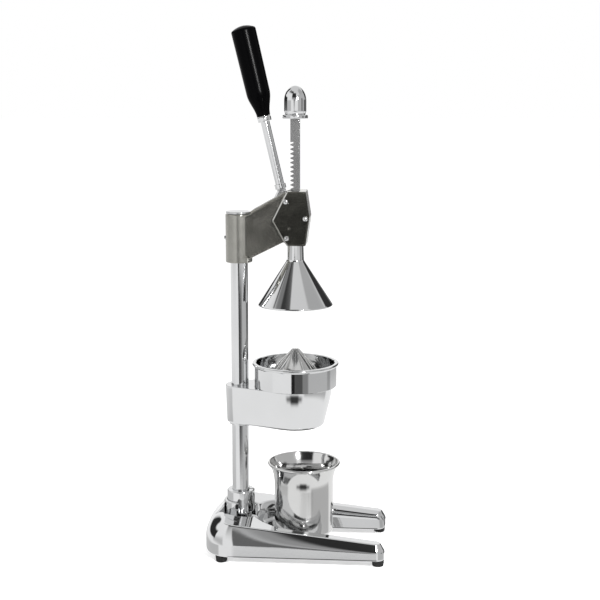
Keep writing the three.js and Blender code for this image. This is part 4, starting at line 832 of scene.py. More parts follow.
    def bevel_inset(self, share: float, rise: float) -> float:
        """Return how far the convex outer face has leant in at a share of its height.

        Args:
            share: Share of the face's height.
            rise: Height of the face.

        Returns:
            The inset, which grows no faster than the steepest slope allows.
        """
        start = min(self.crease_lean * rise, self.most_lean * self.ridge_inset)
        rest = self.ridge_inset - start
        bend = (self.steepest * rise - start) / self.side_bulge / rest
        turn = min(bend ** (1 / (self.side_bulge - 1)), 1.0)
        low = min(share, turn)
        return start * low + rest * low ** self.side_bulge + self.steepest * rise * (share - low)

    def bevel_level(self, share: float, extra: float = 0.0) -> list[Triple]:
        """Return a level of the leaning bevel face.

        Args:
            share: Share of the face's height, 0 at the crease and 1 at the ridge.
            extra: Further inset.

        Returns:
            The level's points.
        """
        result = []
        rear_reach = self.rear_depth - self.length / 2
        for x, y, nx, ny, inside in self.plan():
            rearness = max(0.0, (rear_reach - x) / self.rear_depth) ** 2
            crease = self.crease(x)
            side = self.bevel_inset(share, self.ridge(x) - crease)
            side += (self.ridge_inset * share ** self.bay_bulge - side) * inside
            rear = self.ridge_inset * share ** self.rear_bulge
            inset = side + (rear - side) * rearness + extra
            x, y = x - nx * inset, y - ny * inset
            lean = self.rear_lean * rearness * share * share
            result.append((x + lean, y, crease + share * (self.ridge(x + lean) - crease)))
        return result

    def walls(self) -> bpy.types.Object:
        """Return the U-shaped body with rounded crease, ridge and foot edges.

        Returns:
            The body.
        """
        edge = (*self.lower_edge, (0, self.skirt_step))
        levels = [self.level(out, self.bottom + up, self.skirt) for out, up in edge]
        start = self.bottom + self.skirt_step
        for share in self.skirt_shares:
            flat = self.level(0, start, self.skirt * (1 - share))
            levels.append([(x, y, start + (self.crease(x) - start) * share) for x, y, _ in flat])
        levels += [self.bevel_level(step / self.face_steps) for step in range(self.face_steps - 1)]
        levels += self.ridge_levels()
        return lofted("base_casting_fine", levels, weld=False)

    def ridge_levels(self) -> list[list[Triple]]:
        """Return the levels that round the ridge into the falling top.

        Returns:
            The levels, from the face to the top.
        """
        before, last = self.bevel_level(self.ridge_start), self.bevel_level(1.0)
        top = [(x, y, self.ridge(x)) for x, y, _ in self.bevel_level(1.0, self.ridge_round)]
        levels = [before]
        for step in range(1, self.ridge_steps):
            share = step / self.ridge_steps
            mixed = []
            for low, corner, over in zip(before, last, top):
                a = Vector(low).lerp(Vector(corner), share)
                b = Vector(corner).lerp(Vector(over), share)
                mixed.append(tuple(a.lerp(b, share)))
            levels.append(mixed)
        levels.append(top)
        return levels

    def dish(self) -> bpy.types.Object:
        """Return the cutter for the dish round the column, its lip following the falling top.

        Returns:
            The cutter.
        """
        floor, (inner, outer) = self.dish_floor, self.dish_radii
        rim = self.ridge(self.column_x)
        lip, over = outer + 1.4, rim + 14
        profile = softened([(0, floor), (inner, floor, 3), (outer - 1.8, rim - 0.6, 1.6), (lip, rim + 0.5),
                            (lip, over), (0, over)])
        tool = turned("dish", profile, 96)
        slope = (self.ridge_front - self.ridge_rear) / self.length
        for vertex in tool.data.vertices:
            height = vertex.co.z / MM
            share = min(max((height - floor) / (rim - floor), 0), 1)
            vertex.co.z += slope * vertex.co.x * share
        return laid(tool, place=(self.column_x, 0, 0))

    def shelf(self) -> bpy.types.Object:
        """Return the shelf that the cup stands on, round in front.

        Returns:
            The shelf.
        """
        back = self.press_x - self.bay_radius + self.shelf_lap[0]
        side = self.bay_radius - self.shelf_lap[1]
        turn_in = self.cup_x - self.shelf_radius / 2
        front = arc(self.cup_x, 0, self.shelf_radius, -QUARTER, QUARTER, 40)
        outline = [(back, -side), (turn_in, -side), *front, (turn_in, side), (back, side)]
        return slab("shelf", outline, self.shelf_top - self.shelf_thickness, self.shelf_top, 0.8)

    def collar_shield(self) -> bpy.types.Object:
        """Return the half ring that stands behind the collar.

        Returns:
            The half ring.
        """
        inner, outer, top = self.shield
        sunk = 3
        ring = laid(sleeve("shield", inner, outer, top - self.dish_floor + sunk, 1.2),
                    place=(self.column_x, 0, self.dish_floor - sunk))
        ahead = self.column_x - 0.6
        return carve(ring, block("open", (ahead, -40, 0), (ahead + 60, 40, 80)))

    def fin(self) -> bpy.types.Object:
        """Return the fin that climbs from the rear wall to the shield.

        Returns:
            The fin.
        """
        rear = -self.length / 2
        front = self.column_x - self.shield[1] + 1.5
        reach, rise = front - rear, self.shield[2] - self.crease_height
        top = [(rear + reach * along, self.crease_height + rise * up, 6) for along, up in self.fin_shares]
        start = self.bottom + self.skirt_step
        outline = softened([(top[0][0], start), (front, start), (front, top[-1][1]), *reversed(top[:-1])],
                           closed=True)
        return slab("fin", outline, -self.fin_width / 2, self.fin_width / 2, 1.2, axis=Axis.Y)

    def pocket_cutters(self) -> list[bpy.types.Object]:
        """Return the cutters for the pockets under the legs.

        Returns:
            One cutter for each pocket.
        """
        start, end = self.pocket_ends
        length = (end - start - (self.pockets - 1) * self.pocket_rib) / self.pockets
        low, high = self.pocket_sides
        cutters = []
        for place in range(self.pockets):
            x = start + place * (length + self.pocket_rib)
            for sides in ((low, high), (-high, -low)):
                cutters.append(block("pocket", (x, sides[0], 0), (x + length, sides[1], self.pocket_roof)))
        return cutters

    def casting(self) -> bpy.types.Object:
        """Return the whole casting.

        Returns:
            The casting.
        """
        sunk = 6
        boss = laid(rod("boss", self.boss_radius, self.boss_top - self.dish_floor + sunk, 0.8),
                    place=(self.column_x, 0, self.dish_floor - sunk))
        radius, depth = self.bolt_well
        below = 8
        well = laid(rod("well", radius, depth + below), place=(self.column_x, 0, -below))
        seat = laid(drill(COLUMN_BORE, 30), place=(self.column_x, 0, self.column_seat))
        body = carve(self.walls(), self.dish())
        body = weld(body, self.shelf(), boss, self.fin(), self.collar_shield())
        return carve(body, well, seat, *self.pocket_cutters())

    def foot(self) -> bpy.types.Object:
        """Return one rubber foot at the first place.

        Returns:
            The foot.
        """
        well, depth = self.foot_well
        bore, radius, height = self.foot_bore, self.foot_radius, self.foot_height
        profile = softened([(bore, depth), (well, depth), (well, 0, 0.3), (radius - self.foot_taper, 0, 1),
                            (radius, height, 0.2), (bore, height)], closed=True)
        return laid(turned("rubber_feet", profile, 48, ring=True), place=(self.feet_x[0], -self.feet_y, 0))

    def build(self) -> None:
        """Make and dress the casting and the feet."""
        dressed(self.casting(), POLISHED, Body.FRAME, "base_casting")
        pair = repeated(self.foot(), 2, FOOT_RUBBER, step=(self.feet_x[1] - self.feet_x[0], 0, 0))
        feet = repeated(pair, 2, FOOT_RUBBER, step=(0, 2 * self.feet_y, 0))
        names = [f"foot_{end}_{side}" for end in ("rear", "front") for side in ("near", "far")]
        dressed(feet, FOOT_RUBBER, Body.FRAME, *names)


@dataclass
class Column:
    """The upright bar and the clamp collar on the base."""

    x: float = COLUMN_X
    radius: float = 10.0
    bottom: float = 26.0
    top: float = 396.3
    collar_radius: float = 16.2
    collar_bottom: float = 43.0
    collar_height: float = 26.0
    slit: Triple = (6.0, 20.0, 1.0)
    screw_radius: float = 2.8
    screw_length: float = 4.6
    screw_out: float = 15.3
    screw_rise: float = 8.0

    def build(self) -> None:
        """Make and dress the bar and the collar with its slit and screw."""
        bar = rod("column_bar", self.radius, self.top - self.bottom, 0.8, 96)
        dressed(laid(bar, place=(self.x, 0, self.bottom)), BRIGHT_BAR, Body.FRAME, "column")
        ring = sleeve("clamp_collar", self.radius + GAP, self.collar_radius, self.collar_height, 1.4)
        laid(ring, place=(self.x, 0, self.collar_bottom))
        start, end, side = self.slit
        top = self.collar_bottom + self.collar_height
        slit = block("slit", (self.x + start, -side, self.collar_bottom - 1), (self.x + end, side, top + 1))
        height = self.collar_bottom + self.screw_rise
        hole = laid(drill(self.screw_radius + GAP, 12, 32), Axis.Y, (self.x, -22, height))
        dressed(carve(ring, slit, hole), POLISHED, Body.FRAME, "base_collar")
        screw = socket_screw("collar_screw", self.screw_radius, self.screw_length)
        laid(screw, Axis.Y, (self.x, -self.screw_out, height))
        dressed(screw, TURNED, Body.FRAME, "base_collar_screw")


@dataclass
class Bowl:
    """The bracket with its eye and bowl, the strainer ring and the ribbed reaming cone."""

    column_x: float = COLUMN_X
    press_x: float = PRESS_X
    top: float = 196.6
    bottom: float = 151.0
    sink: float = 1.6
    eye_radii: Pair = (15.4, 17.0)
    bowl_radii: Pair = (33.2, 43.0)
    rounding: float = 3.6
    top_rounding: float = 0.7
    knee: Pair = (0.62, 0.25)
    wall: float = 3.2
    hull_shares: tuple[float, ...] = (0.3, 0.55, 0.62, 0.68, 0.74, 0.8, 0.86, 0.92)
    outlet: float = 9.0
    boss_radius: float = 12.6
    screw_radius: float = 2.8
    screw_length: float = 5.0
    screw_rise: float = 24.0
    ring_radius: float = 48.0
    ring_lip_radius: float = 50.3
    ring_top: float = 224.3
    ring_lip: float = 3.4
    ring_wall: float = 2.4
    ring_floor: float = 3.0
    ring_opening: float = 37.0
    reamer_rim: float = 44.5
    reamer_shoulder: float = 33.0
    reamer_rise: float = 40.0
    reamer_tip: float = 4.0
    sheet: float = 1.6
    ribs: int = 12
    rib: float = 2.2
    rib_raise: float = 1.6
    holes: int = 18
    hole_radius: float = 1.7
    hole_place: float = 39.0

    def outline(self, eye: float, bowl: float, height: float, drop: float) -> list[Triple]:
        """Trace the hull round the eye and the bowl at one height.

        Args:
            eye: Radius round the column.
            bowl: Radius round the press's axis.
            height: Height of the outline at the eye.
            drop: How much lower it is at the bowl.

        Returns:
            The outline.
        """
        reach = self.press_x - self.column_x
        edge = QUARTER + math.asin((bowl - eye) / reach)
        rear = arc(self.column_x, 0, eye, edge, TURN - edge, 40)
        front = arc(self.press_x, 0, bowl, -edge, edge, 72)
        flat = rear + between(rear[-1], front[0], 14) + front + between(front[-1], rear[0], 14)
        middle, span = self.column_x + reach / 2, reach / 2
        return [(x, y, height - drop * min(max((x - middle) / span + 0.5, 0), 1)) for x, y in flat]

    def swell(self, share: float) -> float:
        """Return how much of its widening the bowl has reached at a share of its height.

        Args:
            share: Share of the height.

        Returns:
            The share of the widening: straight up to the knee, then slower towards the upright top.
        """
        knee, slowest = self.knee
        rest = 1 - knee
        whole = knee + rest * (1 + slowest) / 2
        over = max(share - knee, 0.0)
        return (min(share, knee) + over * (1 - (1 - slowest) * over / (2 * rest))) / whole

    def hull(self) -> bpy.types.Object:
        """Return the tapered hull with its rounded edges.

        Returns:
            The hull.
        """
        height = self.top - self.bottom
        levels = []
        places = [(self.rounding - out, up)
                  for out, up in arc(0, self.rounding, self.rounding, -QUARTER, 0, 7)]
        places += [(0, height * share) for share in self.hull_shares]
        places += [(self.top_rounding - out, height - self.top_rounding + up)
                   for out, up in arc(0, 0, self.top_rounding, 0, QUARTER, 3)]
        for inset, up in places:
            share = up / height
            eye = self.eye_radii[0] + (self.eye_radii[1] - self.eye_radii[0]) * share - inset
            bowl = self.bowl_radii[0] + (self.bowl_radii[1] - self.bowl_radii[0]) * self.swell(share) - inset
            levels.append(self.outline(eye, bowl, self.bottom + up, self.sink * (1 - share)))
        return lofted("bowl_bracket_fine", levels)

    def bracket(self) -> bpy.types.Object:
        """Return the bracket with bowl, funnel, column bore and screw hole.

        Returns:
            The bracket.
        """
        floor = self.bottom - self.sink + self.wall
        low = self.bowl_radii[0] - self.wall
        high = self.bowl_radii[1] - self.wall
        under, over = floor - 12, self.top + 6
        inside = turned("inside", softened([
            (0, under), (self.outlet, under), (self.outlet, floor, 1), (low - 1, floor + 2.5, 6),
            (high, self.top), (high, over), (0, over)]), 96)
        laid(inside, place=(self.press_x, 0, 0))
        boss = laid(rod("boss", self.boss_radius, 5.4, 0.5), place=(self.column_x, 0, self.bottom - 1.8))
        bore = laid(drill(COLUMN_BORE, 60, 96), place=(self.column_x, 0, self.bottom - 6))
        height = self.bottom + self.screw_rise
        hole = drill(self.screw_radius + GAP, 14, 32)
        laid(hole, Axis.X, (self.column_x - 22, 0, height))
        return carve(weld(self.hull(), boss), bore, inside, hole)

    def ring(self) -> bpy.types.Object:
        """Return the strainer ring with its rolled lip and floor.

        Returns:
            The ring.
        """
        bottom = self.top + GAP
        lip = self.ring_lip / 2
        centre = self.ring_lip_radius - lip
        inner = self.ring_radius - self.ring_wall
        profile = [
            (self.ring_opening, bottom), (self.ring_radius - 0.4, bottom), (self.ring_radius, bottom + 0.4),
            (self.ring_radius, self.ring_top - self.ring_lip - 0.9),
            *arc(centre, self.ring_top - lip, lip, -QUARTER, QUARTER, 12),
            (inner + 0.6, self.ring_top), (inner, self.ring_top - 0.6),
            *arc(inner - 2, bottom + self.ring_floor + 2, 2, 0, -QUARTER, 5),
            (self.ring_opening, bottom + self.ring_floor),
        ]
        return laid(turned("strainer_ring_fine", profile, 128, ring=True), place=(self.press_x, 0, 0))

    def reamer(self) -> bpy.types.Object:
        """Return the reaming cone with its ribs and strainer holes.

        Returns:
            The cone.
        """
        bottom = self.top + GAP + self.ring_floor + GAP
        top = bottom + self.reamer_rise
        sheet, shoulder, tip = self.sheet, self.reamer_shoulder, self.reamer_tip
        waist, middle = (shoulder + tip) / 2, (bottom + top) / 2
        profile = softened([
            (0, top - sheet), (tip, top - 2 * sheet, 2), (waist - sheet, middle, 20),
            (shoulder - sheet, bottom, 0.4), (self.reamer_rim, bottom), (self.reamer_rim, bottom + sheet),
            (shoulder + 1, bottom + sheet, 2.4), (waist + sheet, middle, 20), (tip, top - sheet, 3),
            (0, top)])
        shell = turned("reaming_cone", profile, 120)
        outline = softened([
            (0.5, top - 2.4 * sheet), (waist - sheet, middle), (shoulder - sheet, bottom + sheet / 2),
            (shoulder + self.rib_raise, bottom + sheet, 1), (waist + sheet + self.rib_raise, middle + 1, 24),
            (tip, top - 0.2, 3), (0.5, top + 0.4)], closed=True)
        rib = slab("rib", outline, -self.rib / 2, self.rib / 2, 0.7, axis=Axis.Y)
        ribs = repeated(rib, self.ribs, TURNED, turn=(0, 0, TURN / self.ribs))
        hole = laid(drill(self.hole_radius, 12, 12), place=(self.hole_place, 0, bottom - 6))
        hole.data.transform(Matrix.Rotation(TURN / self.holes / 2, 4, "Z"))
        holes = repeated(hole, self.holes, TURNED, turn=(0, 0, TURN / self.holes))
        return laid(joined(carve(shell, holes), ribs), place=(self.press_x, 0, 0))

    def build(self) -> None:
        """Make and dress the bracket, its screw, the ring and the reaming cone."""
        dressed(self.bracket(), POLISHED, Body.FRAME, "bowl_bracket")
        screw = socket_screw("eye_screw", self.screw_radius, self.screw_length)
        laid(screw, Axis.X, (self.column_x - self.eye_radii[0], 0, self.bottom + self.screw_rise))
        dressed(screw, TURNED, Body.FRAME, "bracket_screw")
        dressed(self.ring(), POLISHED, Body.FRAME, "strainer_ring")
        dressed(self.reamer(), SPUN_STEEL, Body.FRAME, "strainer_cone")


@dataclass
class Cup:
    """The steel cup with its flared and rolled rim."""

    x: float = CUP_X
    bottom: float = 19.8
    radius: float = 34.7
    rim_radius: float = 41.0
    top: float = 104.5
    wall: float = 1.2
    corner: float = 4.0
    seat: float = 2.0
    rise: float = 1.6
    flare_start: float = 76.0
    flare_power: float = 2.4
    roll: float = 1.5

    def flare(self, offset: float, steps: int = 12) -> list[Pair]:
        """Trace the wall from the straight part to the roll.

        Args:
            offset: How far the curve lies inside the outer face.
            steps: Number of chords.

        Returns:
            The curve, upwards.
        """
        end = self.top - self.roll
        points = []
        for step in range(steps + 1):
            share = step / steps
            out = (self.rim_radius - self.radius) * share ** self.flare_power
            points.append((self.radius + out - offset, self.flare_start + (end - self.flare_start) * share))
        return points

    def build(self) -> None:
        """Make and dress the cup."""
        radius, base, rise = self.radius, self.bottom, self.rise
        foot = radius - self.corner - self.seat
        inner = radius - self.wall
        outside = softened([(0, base + rise), (foot - rise, base + rise, 1), (foot, base, 0.6)])
        outside += arc(radius - self.corner, base + self.corner, self.corner, -QUARTER, 0, 8)
        curl = arc(self.rim_radius, self.top - self.roll, self.roll, -QUARTER * 0.6, math.pi, 12)
        inside = [*reversed(self.flare(self.wall))]
        floor = base + rise + self.wall
        inside += arc(inner - self.corner, floor + self.corner, self.corner, 0, -QUARTER, 8) + [(0, floor)]
        profile = outside + self.flare(0)[:-1] + curl + inside[1:]
        made = turned("juice_cup_fine", profile, 128)
        dressed(laid(made, place=(self.x, 0, 0)), SPUN_STEEL, Body.CUP, "juice_cup")


@dataclass
class Press:
    """The toothed rack, its knob and the bell-shaped press cone."""

    x: float = PRESS_X
    depth: float = 10.4
    width: float = 10.0
    mesh_height: float = MESH_HEIGHT
    teeth_span: Pair = (372.0, 480.5)
    bottom: float = 362.0
    knob_bottom: float = 504.5
    knob_height: float = 36.8
    knob_flange: Pair = (14.4, 4.0)
    knob_radius: float = 12.6
    knob_bore: float = 18.3
    neck_radius: float = 9.35
    neck_bottom: float = 344.0
    cone_radius: float = 43.1
    cone_bottom: float = 291.4
    cone_wall: float = 2.6
    hub_radius: float = 8.0
    hub_bottom: float = 333.0
    stud_radius: float = 4.0
    nut_radius: float = 6.5
    nut_height: float = 6.0

    def rack(self) -> bpy.types.Object:
        """Return the bar with its row of teeth and both studs.

        Returns:
            The rack.
        """
        tip = self.x - self.depth / 2
        addendum, dedendum = MODULE * TIP_SHARE, MODULE * ROOT_SHARE
        root = addendum + dedendum
        pitch = MODULE * math.pi
        lean = math.tan(PRESSURE)
        half_tip = pitch / 4 - addendum * lean - BACKLASH / 2
        half_root = pitch / 4 + dedendum * lean - BACKLASH / 2
        first = math.ceil((self.teeth_span[0] - self.mesh_height) / pitch)
        last = math.floor((self.teeth_span[1] - self.mesh_height) / pitch)
        side = self.width / 2
        start = self.mesh_height + first * pitch
        sunk = tip + root + 0.4
        outline = softened([(sunk, start - half_root), (tip + root, start - half_root),
                            (tip, start - half_tip, 0.25), (tip, start + half_tip, 0.25),
                            (tip + root, start + half_root), (sunk, start + half_root)], closed=True, steps=2)
        tooth = slab("teeth", outline[::-1], -side, side, 0.15, 1, Axis.Y)
        teeth = repeated(tooth, last - first + 1, RACK_STEEL, step=(0, 0, pitch))
        top = self.knob_bottom - GAP
        low_end = self.mesh_height + (first - 0.5) * pitch - half_tip
        high_end = self.mesh_height + (last + 0.5) * pitch + half_tip
        back = tip + self.depth
        outline = [(tip, self.bottom), (back, self.bottom), (back, top), (tip, top), (tip, high_end),
                   (tip + root, high_end), (tip + root, low_end), (tip, low_end)]
        bar = slab("toothed_rack", outline, -side, side, 0.35, 3, Axis.Y)
        stud_bottom = self.hub_bottom - 8.6
        low = rod("stud", self.stud_radius, self.bottom - stud_bottom + 2)
        laid(low, place=(self.x, 0, stud_bottom))
        high = laid(rod("stud", self.stud_radius, 18), place=(self.x, 0, top - 1.6))
        return joined(bar, teeth, low, high)

    def knob(self) -> bpy.types.Object:
        """Return the acorn knob.

        Returns:
            The knob.
        """
        flange, thick = self.knob_flange
        radius, height, bore = self.knob_radius, self.knob_height, self.knob_bore
        body_top = height - radius * 1.35
        curve = arc(0, 0, 1, 0, QUARTER, 20)[:-1]
        dome = [(radius * x, body_top + (height - body_top) * z) for x, z in curve]
        foot = softened([(STUD_BORE, 0), (flange, 0, 1), (flange, thick, 1.4), (radius - 1.2, thick + 1.2, 1),
                         (radius, thick + 4.4, 3), dome[0]])
        profile = [(0, bore), (STUD_BORE, bore)] + foot[:-1] + dome + [(0, height)]
        return laid(turned("acorn_knob", profile, 96), place=(self.x, 0, self.knob_bottom))

    def cone(self) -> bpy.types.Object:
        """Return the bell with its neck and inner hub.

        Returns:
            The bell.
        """
        slope = (self.cone_radius - self.neck_radius) / (self.neck_bottom - self.cone_bottom)
        across = self.cone_wall * math.sqrt(1 + slope * slope)
        hub_height = self.neck_bottom - (self.hub_radius + across - self.neck_radius) / slope
        low, radius = self.cone_bottom, self.cone_radius
        top = self.bottom - GAP
        hub, neck = self.hub_radius, self.neck_radius
        profile = softened([
            (STUD_BORE, self.hub_bottom), (hub, self.hub_bottom, 0.4), (hub, hub_height, 1.5),
            (radius - across, low + 1.6), (radius - across, low, 0.5), (radius - 0.4, low, 0.6),
            (radius, low + 0.8, 0.5), (radius - 1.6 * slope / 2, low + 1.9, 1),
            (neck + 0.6, self.neck_bottom - 0.4, 5), (neck, top, 0.4), (STUD_BORE, top)], closed=True)
        return laid(turned("press_bell", profile, 128, ring=True), place=(self.x, 0, 0))

    def build(self) -> None:
        """Make and dress the rack, the knob, the bell and its nut."""
        dressed(self.rack(), RACK_STEEL, Body.PRESS, "rack")
        dressed(self.knob(), POLISHED, Body.PRESS, "rack_knob")
        dressed(self.cone(), POLISHED, Body.PRESS, "press_cone")
        top = self.hub_bottom - GAP
        nut = slab("bell_nut", hexagon(self.nut_radius), top - self.nut_height, top, 0.4)
        hole = laid(drill(STUD_BORE, 12), place=(0, 0, self.hub_bottom - 9))
        dressed(laid(carve(nut, hole), place=(self.x, 0, 0)), TURNED, Body.PRESS, "cone_nut")


@dataclass
class Head:
    """The arm with clamp and gear housing, the cap, both cover plates and their screws."""

    column_x: float = COLUMN_X
    gear_x: float = GEAR_X
    mesh_height: float = MESH_HEIGHT
    pitch_radius: float = 22.4
    rack_x: Pair = (-6.7, 3.7)
    bottom: float = 341.0
    sleeve_radius: float = 15.3
    sleeve_top: float = 396.6
    width: float = 28.0
    edge: float = 0.8
    plate: float = 4.6
    plate_chamfer: float = 1.4
    gear_room: float = 0.6
    slot_top: float = 440.0
    channel_bottom: float = 350.0
    channel_side: float = 5.3
    bush_radius: float = 7.6
    blind_depth: float = 11.9
    set_screw: Pair = (2.7, 369.0)
    cap_radius: float = 14.6
    cap: float = 2.6
    boss_room: float = 9.2
    screw_radius: float = 2.0
    screw_length: float = 6.0
    head_radius: float = 3.1
    head_height: float = 2.4
    head_slot: Pair = (0.45, 1.0)
    screws: tuple[Pair, ...] = ((55.6, 412.1), (56.6, 370.8), (77.6, 393.1))
    oil_hole: Triple = (59.7, 382.2, 1.9)
    housing: tuple[Pair, ...] = (
        (0, 346.5), (14.3, 346.5), (52.6, 365.7), (56.6, 362), (77.9, 362), (82.3, 394.5), (77.9, 423.5),
        (56.6, 423.5), (51, 420.8), (15.2, 400.8), (15.2, 396.6), (0, 396.6))
    cover: tuple[Pair, ...] = (
        (40.1, 390.8), (52.6, 367.9), (56.6, 362), (77.9, 362), (82.3, 394.5), (77.9, 423.5), (56.6, 423.5),
        (49.9, 410.4))
    panel: tuple[Pair, ...] = (
        (5, 349.9), (14.3, 349.9), (52.3, 368.9), (40.4, 390.8), (54.4, 419.2), (5, 391.7))
    panel_depth: float = 1.5

    def shifted(self, points: Sequence[Pair], rounding: float) -> list[Pair]:
        """Return an outline measured from the column, moved to its place, with rounded corners."""
        return softened([(self.column_x + x, z, rounding) for x, z in points], closed=True)

    def arm(self) -> bpy.types.Object:
        """Return the arm with its column bore, gear slot, rack channel and bearing bores.

        Returns:
            The arm.
        """
        side = self.width / 2
        clamp = laid(rod("grey_arm", self.sleeve_radius, self.sleeve_top - self.bottom, 1.0, 96),
                     place=(self.column_x, 0, self.bottom))
        arm = slab("arm", self.shifted(self.housing, 1.5), -side, side, self.edge, 3, Axis.Y)
        sunk = self.panel_depth - side
        carve(arm, slab("panel", self.shifted(self.panel, 0.6), -2 * side, sunk, 0.3, 2, Axis.Y))
        slot_side = GEAR_WIDTH / 2 + self.gear_room
        slot_radius = self.pitch_radius + MODULE * TIP_SHARE + self.gear_room
        bore = laid(drill(COLUMN_BORE, 80, 96), place=(self.column_x, 0, self.bottom - 6))
        pocket = laid(drill(slot_radius, 2 * slot_side, 96), Axis.Y,
                      (self.gear_x, -slot_side, self.mesh_height))
        slot = block("slot", (self.gear_x - slot_radius, -slot_side + 0.001, self.mesh_height),
                     (self.rack_x[0] + 2, slot_side - 0.001, self.slot_top))
        channel = block("channel", (self.rack_x[0] - GAP, -self.channel_side, self.channel_bottom),
                        (self.rack_x[1] + GAP, self.channel_side, self.slot_top))
        bush = laid(drill(self.bush_radius, 20), Axis.Y, (self.gear_x, 0, self.mesh_height))
        blind = drill(SHAFT_BORE, 12)
        laid(blind, Axis.Y, (self.gear_x, -self.blind_depth, self.mesh_height))
        radius, height = self.set_screw
        screw = laid(drill(radius, 14), Axis.X, (self.column_x - 22, 0, height))
        return carve(weld(clamp, arm), bore, pocket, slot, channel, bush, blind, screw)

    def cover_plate(self, name: str, near: bool) -> bpy.types.Object:
        """Return a cover plate with its chamfered edge.

        Args:
            name: The object's name.
            near: Whether it is the near plate with the oil hole.

        Returns:
            The plate in its place.
        """
        inner = -self.width / 2 - GAP
        outer = inner - self.plate
        corners = [(self.column_x + x, z) for x, z in self.cover]
        chamfer, edge = self.plate_chamfer, 0.25
        levels = []
        places = ((chamfer + edge, outer), (chamfer + edge / 3, outer + edge / 3), (chamfer, outer + edge),
                  (edge / 2, outer + chamfer), (0, outer + chamfer + edge), (0, inner))
        for inset, y in places:
            flat = softened([(x, z, 1.2) for x, z in drawn_in(corners, inset)], closed=True, steps=3)
            levels.append([(x, y if near else -y, z) for x, z in flat])
        plate = lofted(name, levels)
        if near:
            x, z, radius = self.oil_hole
            return carve(plate, laid(drill(radius, 12, 32), Axis.Y, (self.column_x + x, -22, z)))
        room = laid(drill(self.boss_room, 12, 64), Axis.Y, (self.gear_x, 10, self.mesh_height))
        return carve(plate, room)

    def plate_screw(self, name: str) -> bpy.types.Object:
        """Make a round-head screw along Z, its head above z = 0, with a slot.

        Args:
            name: The object's name.

        Returns:
            The screw.
        """
        head = arc(0, 0, 1, 0, QUARTER, 8)[:-1]
        radius, length = self.screw_radius, self.screw_length
        profile = [(0, -length), (radius, -length), (radius, 0)]
        profile += [(self.head_radius * x, self.head_height * y) for x, y in head] + [(0, self.head_height)]
        side, depth = self.head_slot
        slot = block("slot", (-5, -side, self.head_height - depth), (5, side, 6))
        return carve(turned(name, profile, 40), slot)

    def screw_set(self) -> bpy.types.Object:
        """Return the six cover screws, each turned a little differently.

        Returns:
            The screws, as one piece.
        """
        seat = self.width / 2 + GAP + self.plate
        parts = []
        for place, (x, z) in enumerate(self.screws):
            for side in (-1, 1):
                screw = self.plate_screw("cover_screws")
                screw.data.transform(Matrix.Rotation(0.7 + 1.1 * place + side, 4, "Z"))
                screw.data.transform(Matrix.Rotation(-side * QUARTER, 4, "X"))
                parts.append(laid(screw, place=(self.column_x + x, side * seat, z)))
        return joined(*parts)

    def build(self) -> None:
        """Make and dress the arm, plates, cap and screws."""
        arm = dressed(self.arm(), ARM_ENAMEL, Body.FRAME, "head_arm")
        # Painted shade on the clamp: a darker, rougher copy of the arm's enamel.
        shaded_satin_clamp(arm, self.column_x, self.sleeve_radius)
        for name, near in (("near", True), ("far", False)):
            plate = self.cover_plate(f"{name}_cover", near)
            # Painted highlight: bright metal on the plates' chamfers that face the column.
            painted_highlight_chamfers(dressed(plate, PLATE_ENAMEL, Body.FRAME, f"cover_plate_{name}"))
        cap = rod("cap_disc", self.cap_radius, self.cap, 0.7, 96)
        laid(cap, place=(self.column_x, 0, self.sleeve_top + GAP))
        dressed(cap, TURNED, Body.FRAME, "column_cap")
        names = [f"plate_screw_{side}_{place}" for side in ("near", "far") for place in (1, 2, 3)]
        dressed(self.screw_set(), TURNED, Body.FRAME, *names)


